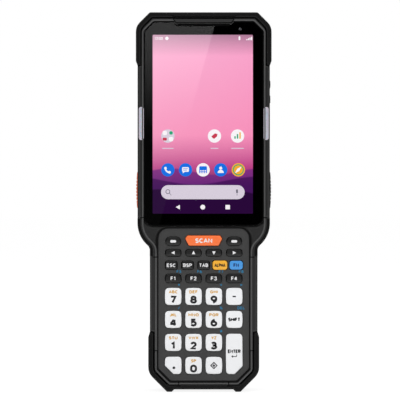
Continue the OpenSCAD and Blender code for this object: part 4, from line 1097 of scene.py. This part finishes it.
def key_corners(name):
    x0, x1, _, _, z0, z1 = box_mm("key_" + name)
    limits = (x0 + FLANGE_REACH, x1 - FLANGE_REACH, z0 + FLANGE_REACH, z1 - FLANGE_REACH)
    if name == "scan":
        return scan_key(*limits)
    if name == "enter":
        return cut_key(*limits, 1.9, 4.5, 1)
    if name == "dot":
        return cut_key(*limits, 1.9, 4.8, -1)
    if SLOT_OF["key_" + name] == "key_white":
        return barrel(*limits, 1.9)
    return box_corners(*limits, KEY_RADIUS.get(name, 0.9))


CAP_RIM = 0.9
CAP_RIM_DEEP = 0.5
CAP_RIM_STEPS = 6
CAP_CROWN = 0.09


def make_cap(name):
    """Key cap with a rounded rim, a crowned face, the flange behind the plate and its plunger."""
    corners = key_corners(name)
    mid_x, mid_z = key_middle(name)
    front, back = box_mm("key_" + name)[2:4]
    face = rounded(shrunk(corners, CAP_RIM))
    wide = rounded(shrunk(corners, -FLANGE_REACH))
    levels = []
    for share, lift in ((0.35, 0.0), (0.7, 0.35), (1.0, 1.0)):
        inner = [(mid_x + (x - mid_x) * share, mid_z + (z - mid_z) * share) for x, z in face]
        levels.append((inner, front + CAP_CROWN * lift))
    for i in range(1, CAP_RIM_STEPS + 1):
        angle = math.radians(90 * i / CAP_RIM_STEPS)
        outline = rounded(shrunk(corners, CAP_RIM * (1 - math.sin(angle))))
        levels.append((outline, front + CAP_CROWN + (CAP_RIM_DEEP - CAP_CROWN) * (1 - math.cos(angle))))
    away = [Vector((x - mid_x, z - mid_z)).normalized() * PLUNGER_R for x, z in wide]
    stem = [(mid_x + way.x, mid_z + way.y) for way in away]
    flange_back = PLATE[3] + FLANGE_T
    levels += [(rounded(corners), PLATE[3]), (wide, PLATE[3]), (wide, flange_back), (stem, flange_back),
        (stem, back)]
    bm = bmesh.new()
    loft(bm, [ring_of(bm, outline, depth) for outline, depth in levels])
    slot = SLOT_OF["key_" + name]
    cap = finished("cap_" + name, bm, slot, "key_" + name, 30)
    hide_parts("key_" + name)


DIGIT_H = 4.4
DIGIT_PEN = 1.18
DIGIT_DROP = 1.72
LETTERS_RISE = 2.6
LETTERS_H = 1.75
LETTERS_PEN = 0.46
NUMBER_LETTERS = {"7": ("ABC", 5.0), "8": ("DEF", 4.7), "9": ("GHI", 4.4), "4": ("JKL", 3.9),
                  "5": ("MNO", 5.9), "6": ("PQR", 5.2), "1": ("STU", 4.9), "2": ("VWX", 5.6),
                  "3": ("YZ", 2.9), "0": ("SP", 2.9)}
# Word, width, height, pen and ink on each named key
WORDS = {"scan": ("SCAN", 9.6, 2.6, 0.62, "white"), "esc": ("ESC", 5.0, 2.0, 0.42, "white"),
         "bsp": ("BSP", 5.0, 2.0, 0.42, "white"), "tab": ("TAB", 5.0, 2.0, 0.42, "white"),
         "yellow": ("ALPHA", 6.2, 2.0, 0.46, "brown"), "blue": ("FN", 3.1, 2.1, 0.55, "navy"),
         "f1": ("F1", 2.9, 2.2, 0.46, "white"), "f2": ("F2", 3.4, 2.2, 0.46, "white"),
         "f3": ("F3", 3.4, 2.2, 0.46, "white"), "f4": ("F4", 3.4, 2.2, 0.46, "white"),
         "shift": ("SHIFT", 6.8, 2.1, 0.58, "dark")}
ARROWS = {"left": 180, "up": 90, "down": 270, "right": 0}


def key_word(name, key, ink, word, width, high, pen, rise=0.0):
    """A printed word on a key's face."""
    x, z = key_middle(key)
    words = [(word, width, high, x, z + rise, key_print(key), pen)]
    lettering(name, words, "ink_" + ink, "key_" + key)


def key_shapes(name, key, ink, outlines):
    """Printed shapes on a key's face."""
    front = key_print(key)
    plates(name, outlines, front, front + LETTER_T, "ink_" + ink, "key_" + key)


def make_number_legends():
    for digit, (word, width) in NUMBER_LETTERS.items():
        key = "num_" + digit
        key_word("digit_" + digit, key, "dark", digit, 0, DIGIT_H, DIGIT_PEN, -DIGIT_DROP)
        key_word("letters_" + digit, key, "amber", word, width, LETTERS_H, LETTERS_PEN, LETTERS_RISE)


def make_word_legends():
    for key, (word, width, high, pen, ink) in WORDS.items():
        key_word("word_" + key, key, ink, word, width, high, pen)


def diamond(x, z, r):
    return [(x + r, z), (x, z - r), (x - r, z), (x, z + r)]


def make_shape_legends():
    for key in ("soft_left", "soft_right"):
        x, z = key_middle(key)
        key_shapes("dash_" + key, key, "white", [bar(x, z, 3.3, 1.4, 0.6)])
    for key, angle in ARROWS.items():
        x, z = key_middle(key)
        turned = [math.radians(angle + a) for a in (0, 130, 230)]
        point = [(x + r * math.cos(a), z + r * math.sin(a)) for a, r in zip(turned, (1.15, 1.25, 1.25))]
        key_shapes("arrow_" + key, key, "white", [point])
    x, z = key_middle("dash")
    key_shapes("minus_sign", "dash", "dark", [bar(x, z, 1.8, 0.75)])
    x, z = key_middle("dot")
    key_shapes("dot_sign", "dot", "dark", [disc(x + 0.4, z - 1.3, 0.75, 24)])
    x, z = key_middle("menu")
    frame_and_core = [(diamond(x, z, 2.1), diamond(x, z, 1.3)), diamond(x, z, 0.85)]
    key_shapes("menu_diamond", "menu", "dark", frame_and_core)
    key_word("word_enter", "enter", "dark", "ENTER", 7.2, 2.1, 0.58, 1.5)
    x, z = key_middle("enter")
    z -= 1.1
    head = [(x - 1.7, z - 0.3), (x - 0.7, z + 0.45), (x - 0.7, z - 1.05)]
    stem = [bar(x + 0.35, z - 0.3, 2.1, 0.42), bar(x + 1.3, z + 0.35, 0.42, 0.9)]
    key_shapes("enter_arrow", "enter", "dark", [head, *stem])


# The small blue signs on the plate, above the right end of each key: rows by height, columns by place
SIGN_ROWS = [(67.35, ["F5", "F6", "F7", "F8"]), (59.9, ["*", None, "+", "="]),
             (47.0, ["/", None, "%", "DEL"]), (34.0, [None, None, "#", None])]
SIGN_COLUMNS = [-13.9, -2.3, 9.75, 21.0]
SIGN_H = 1.6
SIGN_PEN = 0.32


def make_plate_legends():
    words = [(word, 0, SIGN_H, x, z, PLATE[2] - LETTER_T / 2, SIGN_PEN)
             for z, row in SIGN_ROWS for x, word in zip(SIGN_COLUMNS, row) if word]
    lettering("plate_signs", words, "ink_blue")


# ---------- Front trim ----------

def trim(name, finish, outlines, profile, steps=6):
    """Closed strips along outlines: profile points are (distance outside the outline, depth)."""
    bm = bmesh.new()
    for corners in outlines:
        rings = [ring_of(bm, rounded(shrunk(corners, -out), steps), depth) for out, depth in profile]
        loft(bm, rings, closed=True)
    finished(name, bm, finish)


def arched(width, rise, front, steps=6):
    """Profile of a low half-round bead, centred on its outline."""
    turns = [math.pi * i / steps for i in range(steps + 1)]
    arch = [(-width / 2 * math.cos(t), front - rise * math.sin(t)) for t in turns]
    return arch + [(width / 2, front + 0.5), (-width / 2, front + 0.5)]


def glass_corners():
    return glass_outline(0.0, 5.3, 17.2, 5.0, 0.3)


def make_glass_gap_shade():
    """Near-black strip in the corner between the cover glass and its rim: painted shade of the gap there."""
    front, back = HOUSING[2], GLASS[2]
    trim("glass_gap_shade", "joints_and_gap_shade", [glass_corners()], [(-0.4, back + 0.02), (-0.3, back - 0.12),
        (-0.1, front + 0.06), (0.25, front + 0.02), (0.25, back + 0.1), (-0.4, back + 0.1)])


# The front edge line: a raised ridge this far inside the housing's outline at the head, and further in at the
# grip; its pale grey is a painted highlight
RIDGE_INSET = 2.9
GRIP_STEP = 0.55
RIDGE_W = 0.92
RIDGE_RISE = 0.2
SHOULDER_Z = 87.3
SHOULDER_R = 16.5
NECK_ANGLE = math.radians(47.5)
NECK_R = 4.2
GRIP_X = 30.2
NECK_Z = SHOULDER_Z - (HOUSING[1] - GRIP_X) / math.tan(NECK_ANGLE)
PLATE_CUT = 7.0
BASE_INSET = 1.6


def side_corners(high, low):
    """The housing's outline between two heights: head, shoulder, neck and grip on both sides."""
    return mirrored([(HOUSING[1], high, 0), (HOUSING[1], SHOULDER_Z, SHOULDER_R), (GRIP_X, NECK_Z, NECK_R),
        (GRIP_X, low, 0)])


def ridge_corners():
    """Closed outline of the ridge: over the glass, down its sides, round shoulders, grip and base."""
    glass = shrunk(glass_corners(), GLASS[1] - (HOUSING[1] - RIDGE_INSET))
    shoulder, neck = shrunk(side_corners(HOUSING[5], PLATE[4]), RIDGE_INSET)[1:3]
    x, low = GRIP_X - RIDGE_INSET - GRIP_STEP, PLATE[4] - BASE_INSET
    waist = (x, neck[1] - GRIP_STEP / 2, neck[2])
    slope = PLATE[1] - PLATE[4] - PLATE_CUT + math.sqrt(2) * BASE_INSET
    return mirrored(glass[2:4] + [shoulder, waist, (x, x - slope, 1.5), (low + slope, low, 1.5)])


def make_ridge():
    trim("front_ridge", "bead", [ridge_corners()], arched(RIDGE_W, RIDGE_RISE, HOUSING[2]))


def plate_corners():
    x, low, high = PLATE[1], PLATE[4], PLATE[5]
    return mirrored([(x, high, 5.6), (x, low + PLATE_CUT, 1.5), (x - PLATE_CUT, low, 1.5)])


def make_plate_edge_highlight():
    """Rounded edge of the keypad plate, paler than the plate: a painted highlight."""
    inset, width, rise = 0.3, 0.55, 0.06
    trim("plate_edge_highlight", "plate_edge_highlight", [shrunk(plate_corners(), inset)],
        arched(width, rise, PLATE[2]))


def make_plate_groove_shade():
    """Dark strip in the groove between the keypad plate and the housing: painted shade of the groove."""
    front = HOUSING[2]
    trim("plate_groove_shade", "plate_groove_shade", [plate_corners()],
        [(0.1, front + 0.3), (0.2, front), (0.35, front - 0.05), (0.55, front - 0.03), (0.7, front + 0.02),
         (0.7, front + 0.3), (0.1, PLATE[2] + 0.1)])


# Where the side rails and the dark shoulder strips end: height, and the middle of the joint from the centre
# line
RAIL_JOINTS = [(97.6, 34.5), (75.5, 27.2), (23.1, 27.2)]
JOINT_W = 2.4
JOINT_H = 0.5
FOOT_JOINT_X = 14.0
SHADE_STRIP_W = 1.75
BEYOND = 20


def strip(bm, path, profile):
    """Open strip along a path of (x, z): profile points are (distance to the left of the path, depth)."""
    points = [Vector(p) for p in path]
    rings = []
    for i, p in enumerate(points):
        way = (points[min(i + 1, len(points) - 1)] - points[max(i - 1, 0)]).normalized()
        left = Vector((-way.y, way.x))
        spots = [(p + left * out, depth) for out, depth in profile]
        rings.append([bm.verts.new((spot.x * MM, at(depth), spot.y * MM)) for spot, depth in spots])
    loft(bm, rings)


def make_joint_lines():
    """Dark joints across the ridge, where the rails, the dark shoulder strips and the feet meet."""
    front = HOUSING[2] - RIDGE_RISE - 0.04
    lines = []
    for side in (-1, 1):
        lines += [bar(side * x, z, JOINT_W, JOINT_H, 0.15) for z, x in RAIL_JOINTS]
        lines.append(bar(side * FOOT_JOINT_X, PLATE[4] - BASE_INSET, 0.5, 2.2, 0.15))
    plates("joint_lines", lines, front, front + 0.6, "joints_and_gap_shade")


def make_shoulder_shade_strips():
    """Near-black strips wrapped on the rounded front edge of the shoulders, between the joints: painted shade
    where the edge turns away.
    """
    top, low = RAIL_JOINTS[0][0] - JOINT_H, RAIL_JOINTS[1][0] + JOINT_H
    outline = rounded(side_corners(top + BEYOND, low - BEYOND), 12)
    edge = [(HOUSING[1], top)] + [p for p in outline if p[0] > 1 and low < p[1] < top] + [(GRIP_X, low)]
    profile = [(-SHADE_STRIP_W, 0.02), (-SHADE_STRIP_W + 0.2, -0.12), (-1.2, -0.1), (-0.7, 0.12), (-0.25, 0.6),
               (0.06, 1.4), (0.08, 3.4), (-0.1, 3.6), (-0.6, 1.8), (-1.4, 0.4)]
    front = HOUSING[2]
    bm = bmesh.new()
    for side in (-1, 1):
        strip(bm, [(side * x, z) for x, z in edge], [(side * out, front + back) for out, back in profile])
    finished("shoulder_shade_strips", bm, "shoulder_shade")


def make_receiver_bar():
    """Raised bar over the receiver, in a dark frame."""
    low, high, bottom_x, top_x = GLASS[5] - 0.8, HOUSING[5] - 0.4, 15.6, 17.9
    corners = mirrored([(top_x, high, 0.6), (bottom_x, low, 0.6)])
    front, back = HOUSING[2] - RIDGE_RISE - 0.06, HOUSING[2] - RIDGE_RISE + 0.29
    trim("receiver_frame", "joints_and_gap_shade", [corners],
        [(-0.5, front + 0.02), (0, front), (0, back), (-0.5, back)])
    plates("receiver_bar", [rounded(shrunk(corners, 0.45), 4)], front + 0.05, back, "ear_bar")


def make_camera_ring():
    """Bright ring in the eye of the front camera."""
    x, z = (CAMERA[0] + CAMERA[1]) / 2, (CAMERA[4] + CAMERA[5]) / 2
    plates("camera_ring", [(disc(x, z, 0.78, 32), disc(x, z, 0.5, 32))], GLASS_BACK - 0.06, GLASS_BACK - 0.02,
        "ring")


def make_guide_frames():
    """Pale raised edge round each light guide."""
    low, high, front = GUIDES[4], GUIDES[5], GUIDES[2]
    inner, outer = GUIDES[1] - 2.2, GUIDES[1]
    trim("guide_frames", "guide_edge",
        [box_corners(-outer, -inner, low, high, 1.0), box_corners(inner, outer, low, high, 1.0)],
        [(-0.3, front - 0.02), (-0.15, front - 0.16), (0.15, front - 0.16), (0.32, front - 0.02),
         (0.32, front + 0.1), (-0.3, front + 0.1)])


# ---------- Side keys ----------

TRIGGER_GROOVES = 7
GROOVE_PITCH = 1.9
GROOVE_W = 0.7
GROOVE_DEEP = 0.35
PAD_MARGIN = 0.8
PAD_ROUND = 0.4
PAD_BOW = 0.5
PAD_END = 0.5
PAD_END_SUNK = 0.25


def make_trigger(side, node):
    """Scan trigger: a bowed pad with cross grooves, on its flange inside the wall."""
    x0, x1, d0, d1, z0, z1 = box_mm(node)
    outer, wall = (x1, x0) if side > 0 else (-x0, -x1)
    middle, half = (z0 + z1) / 2, (z1 - z0) / 2 - 1
    bow_r = (half ** 2 + PAD_BOW ** 2) / (2 * PAD_BOW)
    flange_x = wall + FLANGE_T
    # Height on the pad, and how far it is sunk there
    levels = [(-half, PAD_END_SUNK), (-half + PAD_END, 0.0)]
    for i in range(TRIGGER_GROOVES):
        z = (i - (TRIGGER_GROOVES - 1) / 2) * GROOVE_PITCH
        levels += [(z - GROOVE_W / 2, 0.0), (z - GROOVE_W / 4, GROOVE_DEEP), (z + GROOVE_W / 4, GROOVE_DEEP),
            (z + GROOVE_W / 2, 0.0)]
    levels += [(half - PAD_END, 0.0), (half, PAD_END_SUNK)]
    # Depth across the pad, and how far its rounding is sunk there
    d0, d1 = d0 + PAD_MARGIN, d1 - PAD_MARGIN
    stations = [(d0, PAD_ROUND), (d0 + 0.15, 0.12), (d0 + PAD_ROUND, 0.0), (d1 - PAD_ROUND, 0.0),
                (d1 - 0.15, 0.12), (d1, PAD_ROUND)]
    bm = bmesh.new()
    rows = []
    for depth, sunk in stations:
        row = []
        for z, dip in levels:
            if dip == GROOVE_DEEP and sunk == PAD_ROUND:
                dip = 0.0
            row.append((outer - (bow_r - math.sqrt(bow_r ** 2 - z ** 2)) - sunk - dip, z))
        row += [(flange_x, half), (flange_x, -half)]
        rows.append([bm.verts.new((side * x * MM, at(depth), (middle + z) * MM)) for x, z in row])
    loft(bm, rows)
    centre = (side * (wall + flange_x) / 2 * MM, at((d0 + d1) / 2), middle * MM)
    size = (FLANGE_T * MM, (d1 - d0 + 2 * PAD_MARGIN) * MM, (z1 - z0) * MM, 1)
    bmesh.ops.create_cube(bm, size=1, matrix=Matrix.Translation(centre) @ Matrix.Diagonal(size))
    slot = SLOT_OF[node]
    pad = finished("pad_" + node, bm, slot, BODY_OF[node], 35)
    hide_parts(node)


MARK_REACH = 4.3
MARK_PEN = 0.42
MARK_ARM = 1.7


def make_rocker_marks():
    """Raised plus and minus on the volume rocker."""
    _, x1, d0, d1, z0, z1 = box_mm("volume_rocker")
    depth, middle = (d0 + d1) / 2, (z0 + z1) / 2
    bm = bmesh.new()
    for z, across, along in [(MARK_REACH, MARK_ARM, MARK_PEN), (MARK_REACH, MARK_PEN, MARK_ARM),
                             (-MARK_REACH, MARK_ARM, MARK_PEN)]:
        rings = []
        for x, bevel in [(x1 - 0.02, 0), (x1 + 0.07, 0), (x1 + 0.12, 0.06)]:
            a, b = across / 2 - bevel, along / 2 - bevel
            rings.append([bm.verts.new((x * MM, at(depth + u), (middle + z + v) * MM)) for u, v in
                          [(-a, -b), (a, -b), (a, b), (-a, b)]])
        loft(bm, rings)
    finished("rocker_marks", bm, "side_key", "rocker")


SPRING_TURNS = 9
SPRING_WIRE = 0.25
SPRING_STEPS = 20
SPRING_SIDES = 8


def make_latch_spring():
    """Coil between the latch and the housing."""
    x0, x1, d0, d1, z0, z1 = box_mm("latch_spring")
    centre, r = at((d0 + d1) / 2), (x1 - x0) / 2 - SPRING_WIRE
    count = SPRING_TURNS * SPRING_STEPS
    rise = (z1 - z0 - 2 * SPRING_WIRE) / count
    bm = bmesh.new()
    rings = []
    for i in range(count + 1):
        a = 2 * math.pi * i / SPRING_STEPS
        ring = []
        for j in range(SPRING_SIDES):
            b = 2 * math.pi * j / SPRING_SIDES
            out = (r + SPRING_WIRE * math.cos(b)) * MM
            z = z0 + SPRING_WIRE + i * rise + SPRING_WIRE * math.sin(b)
            ring.append(bm.verts.new((out * math.cos(a), centre + out * math.sin(a), z * MM)))
        rings.append(ring)
    loft(bm, rings)
    slot = SLOT_OF["latch_spring"]
    spring = finished("coil_spring", bm, slot, BODY_OF["latch_spring"], 60)
    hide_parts("latch_spring")
    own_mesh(spring)


# ---------- Receiver cloth ----------

def row_of_wires():
    """Geometry nodes: parallel wires in a row, for a cloth of them."""
    tree, given, results = node_group("row_of_wires", "GeometryNodeTree",
        [("Geometry", "Geometry"), ("Count", "Int"), ("Pitch", "Float"), ("Length", "Float"),
         ("Radius", "Float"), ("Start", "Vector"), ("Step", "Vector"), ("Along", "Vector"),
         ("Finish", "Material")],
        [("Geometry", "Geometry")])

    def node(kind, **inputs):
        return signal(tree, kind, {key.replace("_", " "): value for key, value in inputs.items()},
            family="GeometryNode")

    half = scaled(scaled(given["Along"], given["Length"]), 0.5)
    line = node("CurvePrimitiveLine", Start=scaled(half, -1.0), End=half)
    circle = node("CurvePrimitiveCircle", Resolution=6, Radius=given["Radius"])
    wire = node("CurveToMesh", Curve=line, Profile_Curve=circle, Fill_Caps=True)
    points = node("MeshLine", Count=given["Count"], Start_Location=given["Start"],
        Offset=scaled(given["Step"], given["Pitch"]))
    real = node("RealizeInstances", Geometry=node("InstanceOnPoints", Points=points, Instance=wire))
    join(results, {0: node("SetMaterial", Geometry=real, Material=given["Finish"])})
    return tree


WIRES = row_of_wires()
CLOTH_PITCH = 0.42
WIRE_R = 0.07
CLOTH_EDGE = 0.15


def wires(name, count, length, start, step, along):
    """A row of the cloth's wires, made by the tree and kept as a plain mesh."""
    maker = bpy.data.objects.new(name + "_maker", bpy.data.meshes.new(name + "_maker"))
    bpy.context.scene.collection.objects.link(maker)
    rule = maker.modifiers.new("wires", "NODES")
    rule.node_group = WIRES
    sockets = {item.name: item.identifier for item in WIRES.interface.items_tree if item.in_out == "INPUT"}
    for label, value in [("Count", count), ("Pitch", CLOTH_PITCH * MM), ("Length", length * MM),
                         ("Radius", WIRE_R * MM), ("Start", [v * MM for v in start]), ("Step", step),
                         ("Along", along), ("Finish", FINISHES["mesh"])]:
        rule[sockets[label]] = value
    mesh = bpy.data.meshes.new_from_object(maker.evaluated_get(bpy.context.evaluated_depsgraph_get()))
    maker.modifiers.remove(rule)
    bpy.data.objects.remove(maker)
    mesh.name = name
    mesh.shade_smooth()
    riding(name, mesh, "housing")


def make_receiver_cloth():
    x0, x1, d0, _, z0, z1 = box_mm("receiver_mesh")
    x0, x1, z0, z1 = x0 + CLOTH_EDGE, x1 - CLOTH_EDGE, z0 + CLOTH_EDGE, z1 - CLOTH_EDGE
    mid_x, mid_z, y = (x0 + x1) / 2, (z0 + z1) / 2, at(d0 - WIRE_R) / MM
    wires("receiver_warp", int((x1 - x0) / CLOTH_PITCH), z1 - z0, (x0 + CLOTH_PITCH / 2, y, mid_z),
        (1, 0, 0), (0, 0, 1))
    wires("receiver_weft", 2, x1 - x0, (mid_x, y - WIRE_R, mid_z - CLOTH_PITCH / 2), (0, 0, 1), (1, 0, 0))


make_trigger(-1, "trigger_left")
make_trigger(1, "trigger_right")
make_rocker_marks()
make_latch_spring()
make_receiver_cloth()
make_glass_gap_shade()
make_ridge()
make_plate_edge_highlight()
make_plate_groove_shade()
make_joint_lines()
make_shoulder_shade_strips()
make_receiver_bar()
make_camera_ring()
make_guide_frames()

for name in [n[4:] for n in CAD if n.startswith("key_") and n != "key_domes"]:
    make_cap(name)
make_number_legends()
make_word_legends()
make_shape_legends()
make_plate_legends()
